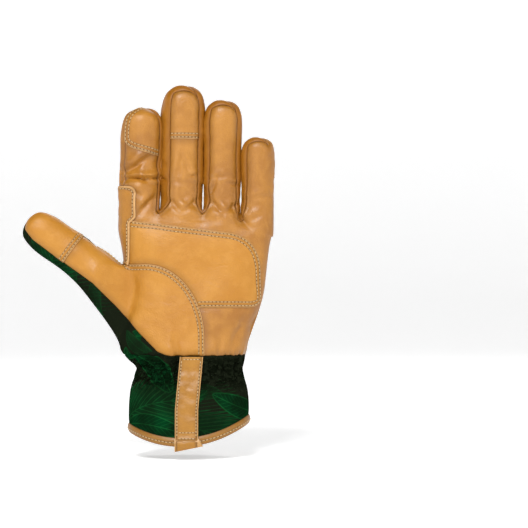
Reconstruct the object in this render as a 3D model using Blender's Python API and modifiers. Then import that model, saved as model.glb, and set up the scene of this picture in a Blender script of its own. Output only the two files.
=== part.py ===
"""Gardening glove for the left hand, filled out as if it were worn.

Metres. +Z runs along the fingers, the palm faces -Y and the thumb points to -X.
The origin is the middle of the gathered wrist.
"""
import math

import bmesh
import bpy
from mathutils import Vector
from mathutils.bvhtree import BVHTree

# Walls and clearances.
LEATHER = 0.0012
CLOTH = 0.0010
BINDING = 0.0024
STRAP_THICKNESS = 0.0016
SEAM_GAP = 0.0003
LAYER_GAP = 0.0003

# The hand, from the wrist up to the roots of the fingers.
ROOT_HEIGHT = 0.1055
PALM_DEPTH = 0.040
PALM_SHIFT = 0.0050
WRIST_WIDTH = 0.0730
WRIST_DEPTH = 0.0440
FINGER_GAP = 0.0012
FINGER_CURL = 0.0060

# Length runs from ROOT_HEIGHT to the tip, lean is how far the tip stands to +X.
FINGERS = (
    dict(name="index", length=0.0752, width=0.0280, depth=0.0245, lean=0.0030, seams=(-8, 22)),
    dict(name="middle", length=0.0904, width=0.0292, depth=0.0250, lean=0.0019, seams=(10, 7)),
    dict(name="ring", length=0.0801, width=0.0252, depth=0.0232, lean=0.0010, seams=(0, 10)),
    dict(name="little", length=0.0546, width=0.0226, depth=0.0212, lean=0.0008, seams=(0, 0)),
)
# The arched end of a finger's front panel, in shares of the finger's half width.
ARCH_WIDTH = 0.86
ARCH_HEIGHT = 0.76
# How far each finger root lies below ROOT_HEIGHT, from the index side to the little side.
ROOT_DROPS = (0.0040, -0.0015, -0.0010, 0.0040, 0.0130)
FINGER_RING_PITCH = 0.0150
FIRST_RING = 0.0100
# How far the middle of each finger's root and the web in each crotch stand above the crotch.
ROOT_CROWN = 0.0020
WEB_RISE = 0.0022
# Share of the index finger's width between the side of the hand and its next column.
SIDE_COLUMN = 0.13

THUMB_LENGTH = 0.0752
THUMB_WIDTH = 0.0280
THUMB_DEPTH = 0.0250
THUMB_ANGLE = math.radians(143.7)
THUMB_ROOT = (-0.0519, 0.0574)
THUMB_FORWARD = 0.0040
THUMB_CURL = 0.0060

CUFF_LENGTH = 0.0428
CUFF_WIDTH = 0.0842
CUFF_DEPTH = 0.0570
HEM_DIP = 0.0116
HEM_TILT = 0.0029
BINDING_HEIGHT = 0.0062

# Gathers of the elastic wrist.
GATHERS = 20
GATHER_DEPTH = 0.0011
GATHER_REACH = 0.0110

# A seam takes over a point of the form that lies within this share of an edge from it.
SNAP = 0.22
# Below this y of its normal a point belongs to the front.
FACING_FRONT = -0.2

# Pieces drawn on the front, in x and z.
PALM_EDGE_HEIGHT = 0.0077
THUMB_SEAM_CENTRE = (-0.0300, 0.0200)
THUMB_SEAM_WIDTH = 0.0413
THUMB_SEAM_HEIGHT = 0.0515
PATCH_THICKNESS = 0.0014
PATCH_LEFT = -0.0378
PATCH_RIGHT = 0.0500
PATCH_BOTTOM = 0.0415
PATCH_TOP = 0.0968
PATCH_SLOPE = 0.1200
PATCH_CORNER = 0.0140
PATCH_MARGIN = 0.0015
SADDLE_BOTTOM = 0.0690
SADDLE_TOP = 0.1262
SADDLE_WIDTH = 0.0085
SADDLE_STEP_HEIGHT = 0.1000
SADDLE_STEP = 0.0040
SADDLE_CORNER = 0.0060
SADDLE_BACK_RADIUS = 0.0235
BACK_SEAM_X = -0.0395

# Lower edge of the thumb leather, in shares of the reach from the wrist to the thumb's tip.
THUMB_EDGE_REACH = (-0.1144, 0.1024)
THUMB_EDGE = (
    dict(across=1.10, up=1.08),
    dict(across=0.945, up=0.860),
    dict(across=0.786, up=0.727),
    dict(across=0.577, up=0.563),
    dict(across=0.441, up=0.411),
    dict(across=0.307, up=0.240),
    dict(across=0.184, up=0.103),
    dict(across=0.122, up=0.075),
)

# Cap lengths measured down from each tip, and how far the edge drops from side to side.
INDEX_CAP = 0.0295
INDEX_CAP_SLANT = 0.0080
INDEX_CAP_SIDE = 0.0032
INDEX_CAP_CORNER = 0.0100
MIDDLE_CAP = 0.0370
THUMB_CAP = 0.0380
INDEX_BACK_LENGTH = 0.0740
INDEX_BACK_SLANT = -0.0140
MIDDLE_BACK_CAP = 0.0275
RING_BACK_CAP = 0.0280
RING_BACK_SLANT = 0.0080
LITTLE_BACK_CAP = 0.0290
INSET_DROP = 0.0350
INSET_HEIGHT = 0.0240
INSET_WIDTH = 0.0190

STRAP_WIDTH = 0.0160
STRAP_TOP_X = 0.0026
STRAP_BOTTOM_X = -0.0007
STRAP_TAIL = 0.0040
STRAP_ROWS = 16
STRAP_RISE = (BINDING - CLOTH) / 2

# Heights in shares of ROOT_HEIGHT, sides in shares of the palm's half width, depths in shares
# of PALM_DEPTH.
PALM_SECTIONS = (
    dict(height=0.853, left=-0.985, right=0.972, front=0.385, back=0.370),
    dict(height=0.664, left=-0.925, right=0.917, front=0.435, back=0.405),
    dict(height=0.445, left=-0.930, right=0.858, front=0.500, back=0.430),
    dict(height=0.208, left=-1.040, right=0.703, front=0.560, back=0.480),
    dict(height=0.076, left=-0.925, right=0.629, front=0.590, back=0.550),
)
# Drops in shares of CUFF_LENGTH, widths and depths from the wrist's size (0) to the cuff's (1).
CUFF_SECTIONS = (
    dict(drop=0.00, width=0.00, depth=0.00, dip=0.00),
    dict(drop=0.17, width=0.18, depth=0.28, dip=0.05),
    dict(drop=0.40, width=0.80, depth=0.72, dip=0.22),
    dict(drop=0.70, width=1.00, depth=1.00, dip=0.55),
    dict(drop=1.00, width=0.97, depth=0.97, dip=1.00),
)
# Shares of THUMB_LENGTH from the tip, of THUMB_WIDTH and of THUMB_DEPTH.
THUMB_SECTIONS = (
    dict(along=0.063, width=0.76, depth=0.76, drift=0.00, slant=0.00),
    dict(along=0.185, width=0.98, depth=0.98, drift=0.00, slant=0.00),
    dict(along=0.360, width=1.00, depth=1.00, drift=0.00, slant=0.00),
    dict(along=0.540, width=1.01, depth=1.04, drift=0.01, slant=0.02),
    dict(along=0.710, width=1.05, depth=1.10, drift=-0.03, slant=0.10),
    dict(along=0.870, width=1.22, depth=1.18, drift=-0.09, slant=0.30),
)
# Creases and hollows pressed into the front of the form. Places and sizes across are shares of
# the palm's half width, heights are shares of ROOT_HEIGHT and depths are shares of PALM_DEPTH.
DENTS = (
    dict(across=-0.87, up=1.28, wide=0.20, tall=0.083, turn=0.25, depth=0.045),
    dict(across=-0.55, up=1.35, wide=0.17, tall=0.074, turn=-0.30, depth=0.030),
    dict(across=-0.15, up=1.11, wide=0.17, tall=0.074, turn=0.20, depth=0.035),
    dict(across=0.35, up=1.09, wide=0.15, tall=0.074, turn=-0.15, depth=0.030),
    dict(across=0.79, up=1.06, wide=0.15, tall=0.074, turn=0.20, depth=0.025),
    dict(across=0.13, up=0.62, wide=0.37, tall=0.440, turn=0.00, depth=0.055),
    dict(across=0.72, up=0.27, wide=0.29, tall=0.110, turn=0.50, depth=0.030),
)

RING_POINTS = 20
RIGHT_SIDE = 10
THUMB_ROWS = (2, 3, 4)
FINGER_COLUMNS = (
    (0, 1, 2, 3, "crotch 0", 17, 18, 19),
    ("crotch 0", 3, 4, 5, "crotch 1", 15, 16, 17),
    ("crotch 1", 5, 6, 7, "crotch 2", 13, 14, 15),
    ("crotch 2", 7, 8, 9, 10, 11, 12, 13),
)
SIDE_OF_SEGMENT = ("left", "front", "front", "right", "right", "back", "back", "left")

PALM_WIDTH = sum(finger["width"] for finger in FINGERS) + 3 * FINGER_GAP
PALM_LEFT = PALM_SHIFT - PALM_WIDTH / 2
THUMB_AXIS = Vector((math.cos(THUMB_ANGLE), 0.0, math.sin(THUMB_ANGLE)))
THUMB_ACROSS = Vector((math.sin(THUMB_ANGLE), 0.0, -math.cos(THUMB_ANGLE)))
THUMB_TIP = Vector((THUMB_ROOT[0], 0.0, THUMB_ROOT[1])) + THUMB_LENGTH * THUMB_AXIS

LEATHER_COLOUR = (0.66, 0.36, 0.13)
CLOTH_COLOUR = (0.012, 0.035, 0.016)


def mix(a, b, share):
    return a + (b - a) * share


def smooth_max(a, b, radius):
    """The larger of two distances, with the corner between them rounded."""
    blend = max(radius - abs(a - b), 0.0) / radius
    return max(a, b) + blend * blend * radius / 4


def clear_scene():
    for item in list(bpy.data.objects):
        bpy.data.objects.remove(item, do_unlink=True)


def finger_edges():
    """Left and right x of each finger at its root."""
    edges = []
    left = PALM_LEFT
    for finger in FINGERS:
        edges.append((left, left + finger["width"]))
        left += finger["width"] + FINGER_GAP
    return edges


def column_shares():
    """Across the hand, from -1 at the index side to 1 at the little side, for the front columns."""
    edges = finger_edges()
    inner = FINGERS[0]["width"] * SIDE_COLUMN
    xs = [PALM_LEFT, PALM_LEFT + inner]
    for number, (left, right) in enumerate(edges):
        xs.append((left + right) / 2)
        if number < 3:
            xs.append(right + FINGER_GAP / 2)
    xs.append(edges[3][1] - inner)
    xs.append(edges[3][1])
    return [(x - PALM_SHIFT) / (PALM_WIDTH / 2) for x in xs]


def front_shares(settle):
    """Column places, from the fingers' own (settle 0) to even steps round the wrist (settle 1)."""
    wrist = [-math.cos(math.pi * step / RIGHT_SIDE) for step in range(RIGHT_SIDE + 1)]
    return [mix(a, b, settle) for a, b in zip(column_shares(), wrist)]


def oval(share, power):
    """Depth of a rounded section at a place across it."""
    return max(1.0 - abs(share) ** power, 0.0) ** (1.0 / power)


def palm_ring(cage, row, height, sides, depths, settle, power, dip=0.0, tilt=0.0):
    """One ring of points round the hand or the cuff, sagging by dip and lower by tilt at the thumb side."""
    left, right = sides
    front, back = depths
    shares = front_shares(settle)
    around = shares + shares[-2:0:-1]
    for column in range(RING_POINTS):
        share = around[column]
        x = mix(left, right, (share + 1) / 2)
        depth = -front if column <= RIGHT_SIDE else back
        y = depth * oval(share, power)
        z = height - dip * oval(share, 2.0) ** 2 + tilt * share
        cage.points["palm", row, column] = Vector((x, y, z))


def root_ring(cage):
    """The row of points where the fingers leave the hand, with a web in each crotch."""
    shares = column_shares()
    around = shares + shares[-2:0:-1]
    drops = [ROOT_DROPS[0], ROOT_DROPS[0] * 0.6, -ROOT_CROWN / 2]
    for crotch in (1, 2, 3):
        drops += [ROOT_DROPS[crotch], ROOT_DROPS[crotch] / 2 + ROOT_DROPS[crotch + 1] / 2 - ROOT_CROWN]
    drops += [ROOT_DROPS[4] * 0.8, ROOT_DROPS[4]]
    around_drops = drops + drops[-2:0:-1]
    valleys = (3, 5, 7, 13, 15, 17)
    for column in range(RING_POINTS):
        share = around[column]
        x = PALM_SHIFT + share * PALM_WIDTH / 2
        side = -1.0 if column <= RIGHT_SIDE else 1.0
        depth = PALM_DEPTH * 0.345 * oval(share, 3.0)
        if column in valleys:
            depth *= 0.62
        cage.points["palm", 0, column] = Vector((x, side * depth, ROOT_HEIGHT - around_drops[column]))
    for crotch in range(3):
        front = cage.points["palm", 0, 3 + 2 * crotch]
        cage.points["palm", 0, "crotch %d" % crotch] = Vector((front.x, 0.0, front.z + WEB_RISE))


def finger_turns(finger):
    """Directions of a finger's eight points, with its front seams where the front panel ends."""
    left, right = finger["seams"]
    return (180, 225 + left, 270 + (left + right) / 2, 315 + right, 360, 405, 450, 495)


def finger_rings(cage, number, finger):
    """Rings from the root up to the tip, then the tip's own point."""
    left, right = finger_edges()[number]
    middle = (left + right) / 2
    radius = finger["width"] / 2
    body = finger["length"] - 1.02 * radius - FIRST_RING
    count = max(2, round(body / FINGER_RING_PITCH))
    rises = [FIRST_RING + body * step / count for step in range(count + 1)]
    sizes = [1.0] * len(rises)
    rises.append(finger["length"] - 0.34 * radius)
    sizes.append(0.77)
    for ring, (rise, size) in enumerate(zip(rises, sizes)):
        share = rise / finger["length"]
        centre = Vector((middle + finger["lean"] * share, -FINGER_CURL * share ** 2, ROOT_HEIGHT + rise))
        waist = 1.0 - 0.015 * math.cos(4 * math.pi * share)
        for point, degrees in enumerate(finger_turns(finger)):
            turn = math.radians(degrees)
            x = radius * size * waist * math.cos(turn)
            y = finger["depth"] / 2 * size * math.sin(turn)
            cage.points[finger["name"], ring + 1, point] = centre + Vector((x, y, 0.0))
    tip = Vector((middle + finger["lean"], -FINGER_CURL, ROOT_HEIGHT + finger["length"]))
    cage.points[finger["name"], "tip"] = tip
    cage.rings[finger["name"]] = len(rises)


def thumb_rings(cage):
    """Rings from the thumb's root out to its tip."""
    sections = THUMB_SECTIONS[::-1]
    for ring, section in enumerate(sections):
        away = section["along"] * THUMB_LENGTH
        forward = THUMB_FORWARD + THUMB_CURL * (1.0 - section["along"]) ** 2
        centre = THUMB_TIP - away * THUMB_AXIS + section["drift"] * THUMB_WIDTH * THUMB_ACROSS
        centre.y = -forward
        for point in range(8):
            turn = point * math.pi / 4
            across = THUMB_WIDTH / 2 * section["width"] * math.cos(turn)
            slide = section["slant"] * THUMB_WIDTH / 2 * math.cos(turn)
            depth = THUMB_DEPTH / 2 * section["depth"] * math.sin(turn)
            place = centre + across * THUMB_ACROSS + slide * THUMB_AXIS
            place.y += depth
            cage.points["thumb", ring + 1, point] = place
    tip = THUMB_TIP.copy()
    tip.y = -THUMB_FORWARD - THUMB_CURL
    cage.points["thumb", "tip"] = tip
    cage.rings["thumb"] = len(sections)


class Cage:
    """Points by name, and the four-sided faces between them with the zone that each is in."""

    def __init__(self):
        self.points = {}
        self.rings = {}
        self.faces = []
        self.zones = []

    def face(self, corners, zone):
        if zone not in self.zones:
            self.zones.append(zone)
        self.faces.append((corners, self.zones.index(zone)))

    def tube(self, name, base, sides):
        """Faces of a finger from its base ring to its closed end."""
        rows = [base]
        for ring in range(1, self.rings[name] + 1):
            rows.append([(name, ring, point) for point in range(8)])
        for low, high in zip(rows, rows[1:]):
            for point in range(8):
                nxt = (point + 1) % 8
                self.face((low[point], low[nxt], high[nxt], high[point]), name + " " + sides[point])
        top = rows[-1]
        for corner in (1, 3, 5, 7):
            quad = (top[corner], top[(corner + 1) % 8], top[(corner + 2) % 8], (name, "tip"))
            self.face(quad, name + " " + sides[corner])


def hand_faces(cage, rows):
    """Faces of the palm, the back and the cuff, with the thumb's opening left out."""
    for row in range(rows - 1):
        for column in range(RING_POINTS):
            if row in THUMB_ROWS[:2] and column in (0, RING_POINTS - 1):
                continue
            nxt = (column + 1) % RING_POINTS
            side = "front" if column < RIGHT_SIDE else "back"
            part = "palm " if row < 5 else "cuff "
            corners = [("palm", row + 1, column), ("palm", row + 1, nxt)]
            corners += [("palm", row, nxt), ("palm", row, column)]
            cage.face(tuple(corners), part + side)


def build_cage():
    cage = Cage()
    half = PALM_WIDTH / 2
    root_ring(cage)
    for row, section in enumerate(PALM_SECTIONS, start=1):
        sides = (PALM_SHIFT + section["left"] * half, PALM_SHIFT + section["right"] * half)
        depths = (section["front"] * PALM_DEPTH, section["back"] * PALM_DEPTH)
        settle = (row / len(PALM_SECTIONS)) ** 1.3
        palm_ring(cage, row, section["height"] * ROOT_HEIGHT, sides, depths, settle, mix(2.8, 2.1, settle))
    for row, section in enumerate(CUFF_SECTIONS, start=len(PALM_SECTIONS) + 1):
        width = mix(WRIST_WIDTH, CUFF_WIDTH, section["width"]) / 2
        depth = mix(WRIST_DEPTH, CUFF_DEPTH, section["depth"]) / 2
        height = -section["drop"] * CUFF_LENGTH
        dip = section["dip"] * HEM_DIP
        tilt = section["dip"] * HEM_TILT
        palm_ring(cage, row, height, (-width, width), (depth, depth), 1.0, 2.1, dip, tilt)
    hand_faces(cage, 1 + len(PALM_SECTIONS) + len(CUFF_SECTIONS))
    for number, finger in enumerate(FINGERS):
        finger_rings(cage, number, finger)
        base = [("palm", 0, column) for column in FINGER_COLUMNS[number]]
        cage.tube(finger["name"], base, SIDE_OF_SEGMENT)
    thumb_rings(cage)
    top, middle, bottom = THUMB_ROWS
    base = [("palm", top, 0), ("palm", top, 19), ("palm", middle, 19), ("palm", bottom, 19),
            ("palm", bottom, 0), ("palm", bottom, 1), ("palm", middle, 1), ("palm", top, 1)]
    cage.tube("thumb", base, ("back",) * 4 + ("front",) * 4)
    return cage


def cage_mesh(cage):
    used = sorted({corner for corners, _ in cage.faces for corner in corners}, key=str)
    number = {key: index for index, key in enumerate(used)}
    mesh = bpy.data.meshes.new("glove_cage")
    places = [cage.points[key] for key in used]
    quads = [[number[corner] for corner in corners] for corners, _ in cage.faces]
    mesh.from_pydata(places, [], quads)
    for polygon, (_, zone) in zip(mesh.polygons, cage.faces):
        polygon.material_index = zone
    return mesh


def evaluated(item):
    graph = bpy.context.evaluated_depsgraph_get()
    graph.update()
    return bpy.data.meshes.new_from_object(item.evaluated_get(graph))


def smooth_form(cage):
    """Subdivide the cage after moving its points until the smooth surface passes through the sections."""
    mesh = cage_mesh(cage)
    item = bpy.data.objects.new("glove_form", mesh)
    bpy.context.scene.collection.objects.link(item)
    smooth = item.modifiers.new("smooth", "SUBSURF")
    smooth.levels = smooth.render_levels = 1
    targets = [vertex.co.copy() for vertex in mesh.vertices]
    for _ in range(6):
        limit = evaluated(item)
        for vertex, target in zip(mesh.vertices, targets):
            vertex.co += target - limit.vertices[vertex.index].co
        mesh.update()
        bpy.data.meshes.remove(limit)
    form = evaluated(item)
    bpy.data.objects.remove(item, do_unlink=True)
    return form


def dent_depth(dent, place):
    """How far one dent presses in at a place on the front."""
    half = PALM_WIDTH / 2
    dx = (place.x - PALM_SHIFT) / half - dent["across"]
    dz = (place.z - dent["up"] * ROOT_HEIGHT) / half
    along = dx * math.cos(dent["turn"]) + dz * math.sin(dent["turn"])
    across = dz * math.cos(dent["turn"]) - dx * math.sin(dent["turn"])
    return dent["depth"] * PALM_DEPTH * math.exp(-(along / dent["wide"]) ** 2 - (across / dent["tall"]) ** 2)


def press_dents(form):
    """Creases and hollows of the worn leather, pressed in along the surface's own direction."""
    moves = {}
    for vertex in form.verts:
        if vertex.normal.y < FACING_FRONT:
            depth = sum(dent_depth(dent, vertex.co) for dent in DENTS)
            moves[vertex] = -depth * vertex.normal
    for vertex, move in moves.items():
        vertex.co += move
    form.normal_update()


def press_gathers(form):
    """Puckers that the elastic draws into the wrist, fading out above and below it."""
    moves = {}
    for vertex in form.verts:
        reach = math.exp(-(vertex.co.z / GATHER_REACH) ** 2)
        if reach < 0.02:
            continue
        turn = math.atan2(vertex.co.y / WRIST_DEPTH, vertex.co.x / WRIST_WIDTH)
        wave = math.cos(GATHERS * turn)
        moves[vertex] = GATHER_DEPTH * reach * wave * vertex.normal
    for vertex, move in moves.items():
        vertex.co += move
    form.normal_update()


def finger_centre(number):
    left, right = finger_edges()[number]
    return (left + right) / 2


def below_tip(number, place, length, slant=0.0):
    """Negative nearer the finger's tip than a seam across it."""
    finger = FINGERS[number]
    share = (place.x - finger_centre(number)) / finger["width"]
    tip = ROOT_HEIGHT + finger["length"]
    return tip - place.z - length - slant * share


def thumb_seam(place):
    """Negative inside the curved seam round the ball of the thumb."""
    across = max(place.x - THUMB_SEAM_CENTRE[0], 0.0) / THUMB_SEAM_WIDTH
    up = max(place.z - THUMB_SEAM_CENTRE[1], 0.0) / THUMB_SEAM_HEIGHT
    return (math.hypot(across, up) - 1.0) * THUMB_SEAM_WIDTH


def palm_edge(place):
    return place.z - PALM_EDGE_HEIGHT


def thumb_edge(place):
    """Height above the edge where the thumb's leather meets its cloth."""
    reach_x, reach_z = THUMB_EDGE_REACH
    xs = [point["across"] * reach_x for point in THUMB_EDGE]
    zs = [point["up"] * reach_z for point in THUMB_EDGE]
    for number in range(len(xs) - 1):
        if place.x < xs[number + 1]:
            share = (place.x - xs[number]) / (xs[number + 1] - xs[number])
            return place.z - mix(zs[number], zs[number + 1], share)
    return place.z - zs[-1] + (place.x - xs[-1])


def thumb_cap(place):
    return (THUMB_TIP - place).dot(THUMB_AXIS) - THUMB_CAP


def saddle_front(place):
    """Negative inside the narrow leather patch up the index side of the palm."""
    rise = min(max((place.z - SADDLE_STEP_HEIGHT) / SADDLE_STEP, 0.0), 1.0)
    side = place.x - (PALM_LEFT + SADDLE_WIDTH + SADDLE_STEP * rise)
    ends = max(SADDLE_BOTTOM - place.z, place.z - SADDLE_TOP)
    return smooth_max(side, ends, SADDLE_CORNER)


def saddle_back(place):
    """Negative inside the leather that wraps the thumb crotch and runs up behind the index finger."""
    crotch_x = PALM_SHIFT + PALM_SECTIONS[1]["left"] * PALM_WIDTH / 2
    crotch_z = PALM_SECTIONS[1]["height"] * ROOT_HEIGHT
    disc = math.hypot(place.x - crotch_x, place.z - crotch_z) - SADDLE_BACK_RADIUS
    beside = abs(place.x - PALM_LEFT) - 0.6 * SADDLE_WIDTH
    strip = max(beside, place.z - SADDLE_TOP, crotch_z - place.z)
    return min(disc, strip)


def palm_patch(place):
    """Negative inside the raised patch across the palm."""
    top = place.z - (PATCH_TOP - PATCH_SLOPE * place.x)
    corner = smooth_max(top, place.x - PATCH_RIGHT, PATCH_CORNER)
    low = smooth_max(corner, PATCH_BOTTOM - place.z, PATCH_CORNER / 3)
    return max(low, PATCH_LEFT - place.x, PATCH_MARGIN - thumb_seam(place))


def back_seam(place):
    """Negative inside the thumb's share of the back, below the thumb crotch."""
    crotch_z = PALM_SECTIONS[1]["height"] * ROOT_HEIGHT
    return max(place.x - BACK_SEAM_X, place.z - crotch_z)


def index_inset(place):
    """Negative inside the half oval of cloth on the back of the index finger."""
    centre_x = finger_edges()[0][1]
    centre_z = ROOT_HEIGHT + FINGERS[0]["length"] - INSET_DROP
    across = (place.x - centre_x) / INSET_WIDTH
    up = (place.z - centre_z) / (INSET_HEIGHT / 2)
    return (math.hypot(across, up) - 1.0) * INSET_WIDTH


def hem_edge(place):
    """Height above the top of the binding, whose line sags at the front and the back."""
    share = max(min(place.x / (CUFF_WIDTH / 2), 1.0), -1.0)
    hem = -CUFF_LENGTH - HEM_DIP * (1.0 - share * share) + HEM_TILT * share
    return place.z - hem - BINDING_HEIGHT


def index_cap(place):
    """Negative inside the index fingertip's cap, whose lower corner is rounded at the thumb side."""
    side = finger_edges()[0][0] + INDEX_CAP_SIDE - place.x
    return smooth_max(below_tip(0, place, INDEX_CAP, INDEX_CAP_SLANT), side, INDEX_CAP_CORNER)


def middle_cap(place):
    return below_tip(1, place, MIDDLE_CAP)


def arch(number, place):
    """Negative inside the arched end of a finger's front panel."""
    finger = FINGERS[number]
    half = finger["width"] / 2
    rise = max(place.z - (ROOT_HEIGHT + finger["length"] - half), 0.0) / ARCH_HEIGHT
    across = (place.x - finger_centre(number) - finger["lean"]) / ARCH_WIDTH
    return math.hypot(across, rise) - half


def middle_arch(place):
    return arch(1, place)


def ring_arch(place):
    return arch(2, place)


def little_arch(place):
    return arch(3, place)


def index_back(place):
    return below_tip(0, place, INDEX_BACK_LENGTH, INDEX_BACK_SLANT)


def middle_back(place):
    return below_tip(1, place, MIDDLE_BACK_CAP)


def ring_back(place):
    return below_tip(2, place, RING_BACK_CAP, RING_BACK_SLANT)


def little_back(place):
    return below_tip(3, place, LITTLE_BACK_CAP)


# Each seam line with the zones of the form that it crosses.
SEAMS = (
    (thumb_seam, ("palm front",)),
    (thumb_edge, ("palm front", "thumb front")),
    (palm_edge, ("palm front", "cuff front", "palm back")),
    (thumb_cap, ("thumb front",)),
    (saddle_front, ("palm front", "index front")),
    (saddle_back, ("palm back", "thumb back", "index left", "index back")),
    (palm_patch, ("palm front",)),
    (back_seam, ("palm back",)),
    (index_cap, ("index front",)),
    (middle_cap, ("middle front",)),
    (middle_arch, ("middle front",)),
    (ring_arch, ("ring front",)),
    (little_arch, ("little front",)),
    (index_back, ("index back", "palm back")),
    (index_inset, ("index back",)),
    (middle_back, ("middle back",)),
    (ring_back, ("ring back",)),
    (little_back, ("little back", "little right")),
    (hem_edge, ("cuff front", "cuff back")),
)


def cut_along(form, field, zones):
    """Split faces where a seam's field changes sign, so that piece borders run along its zero line."""
    faces = [face for face in form.faces if face.material_index in zones]
    values = {vertex: field(vertex.co) for face in faces for vertex in face.verts}
    edges = {edge for face in faces for edge in face.edges}
    for edge in edges:
        start, end = edge.verts
        for near, far in ((start, end), (end, start)):
            if values[near] * values[far] < 0:
                share = values[near] / (values[near] - values[far])
                if share < SNAP:
                    near.co = near.co.lerp(far.co, share)
                    values[near] = 0.0
    for edge in edges:
        start, end = edge.verts
        if values[start] * values[end] < 0:
            share = values[start] / (values[start] - values[end])
            _, added = bmesh.utils.edge_split(edge, start, share)
            values[added] = 0.0
    for face in faces:
        ends = [vertex for vertex in face.verts if values.get(vertex) == 0.0]
        if len(ends) == 2 and not any(edge.other_vert(ends[0]) == ends[1] for edge in ends[0].link_edges):
            bmesh.utils.face_split(face, ends[0], ends[1])


def finger_piece(zone, place):
    """Piece that a face of a finger belongs to."""
    walls = {
        "index right": "index_middle_wall",
        "middle left": "index_middle_wall",
        "middle right": "middle_ring_wall",
        "ring left": "middle_ring_wall",
        "ring right": "ring_little_wall",
        "little left": "ring_little_wall",
    }
    if zone in walls:
        return walls[zone]
    if zone == "index left":
        return "crotch_saddle" if saddle_back(place) < 0 else "index_back_leather"
    if zone == "index front":
        if saddle_front(place) < 0:
            return "crotch_saddle"
        return "index_cap" if index_cap(place) < 0 else "palm_leather"
    if zone == "middle front":
        if middle_arch(place) > 0 and middle_cap(place) < 0:
            return "index_middle_wall"
        return "middle_cap" if middle_cap(place) < 0 else "palm_leather"
    if zone == "ring front" and ring_arch(place) > 0 and place.z > ROOT_HEIGHT + FINGERS[2]["width"]:
        return "middle_ring_wall"
    if zone == "little front" and little_arch(place) > 0 and place.z > ROOT_HEIGHT + FINGERS[3]["width"]:
        return "ring_little_wall"
    if zone == "index back":
        if saddle_back(place) < 0:
            return "crotch_saddle"
        if index_inset(place) < 0:
            return "index_back_inset"
        return "index_back_leather" if index_back(place) < 0 else "back_cloth"
    if zone == "middle back":
        return "middle_back_cap" if middle_back(place) < 0 else "back_cloth"
    if zone == "ring back":
        return "ring_back_cap" if ring_back(place) < 0 else "back_cloth"
    if zone == "little back" or (zone == "little right" and place.y > 0):
        return "little_back_cap" if little_back(place) < 0 else "back_cloth"
    return "palm_leather"


def piece_of(zone, place):
    """Piece that a face of the form belongs to, from its zone and its place."""
    if zone.startswith("cuff"):
        if hem_edge(place) < 0:
            return "hem_binding"
        return "cuff_cloth" if zone == "cuff front" else "back_cloth"
    if zone == "thumb front":
        if thumb_edge(place) < 0:
            return "thumb_cloth"
        return "thumb_cap" if thumb_cap(place) < 0 else "thumb_leather"
    if zone == "thumb back":
        return "crotch_saddle" if saddle_back(place) < 0 else "thumb_cloth"
    if zone == "palm front":
        if palm_edge(place) < 0:
            return "cuff_cloth"
        if saddle_front(place) < 0:
            return "crotch_saddle"
        if thumb_seam(place) < 0:
            return "thumb_leather" if thumb_edge(place) > 0 else "thumb_cloth"
        return "palm_leather"
    if zone == "palm back":
        if saddle_back(place) < 0:
            return "crotch_saddle"
        if back_seam(place) < 0:
            return "thumb_cloth" if palm_edge(place) > 0 else "back_cloth"
        on_index = place.x < finger_edges()[0][1]
        return "index_back_leather" if on_index and index_back(place) < 0 else "back_cloth"
    return finger_piece(zone, place)


def connected_patches(form, pieces):
    """Faces of each piece in groups that hang together, largest group first."""
    groups = {}
    seen = set()
    for start in form.faces:
        if start in seen:
            continue
        group = {start}
        waiting = [start]
        while waiting:
            face = waiting.pop()
            for edge in face.edges:
                for beside in edge.link_faces:
                    if beside not in group and pieces[beside] == pieces[start]:
                        group.add(beside)
                        waiting.append(beside)
        seen |= group
        groups.setdefault(pieces[start], []).append(group)
    for found in groups.values():
        found.sort(key=len, reverse=True)
    return groups


def settle_strays(form, pieces):
    """Give slivers that a seam cut off from their piece to the piece beside them."""
    for name, groups in connected_patches(form, pieces).items():
        for stray in groups[1:]:
            lengths = {}
            for face in stray:
                for edge in face.edges:
                    for beside in edge.link_faces:
                        if beside not in stray:
                            lengths[pieces[beside]] = lengths.get(pieces[beside], 0.0) + edge.calc_length()
            neighbour = max(lengths, key=lengths.get)
            for face in stray:
                pieces[face] = neighbour


def draw_in_border(sheet, gap):
    """Move the open edge of a sheet inwards by half the gap between two pieces."""
    moves = {}
    for vertex in sheet.verts:
        rim = [edge for edge in vertex.link_edges if edge.is_boundary]
        if not rim:
            continue
        inward = Vector()
        for edge in rim:
            face = edge.link_faces[0]
            along = (edge.verts[1].co - edge.verts[0].co).normalized()
            away = face.normal.cross(along)
            if away.dot(face.calc_center_median() - edge.verts[0].co) < 0:
                away = -away
            inward += away
        if inward.length > 0.3:
            inward = inward.normalized() * min(2.0 / inward.length, 1.6)
            moves[vertex] = inward * gap / 2
    for vertex, move in moves.items():
        vertex.co += move


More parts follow.
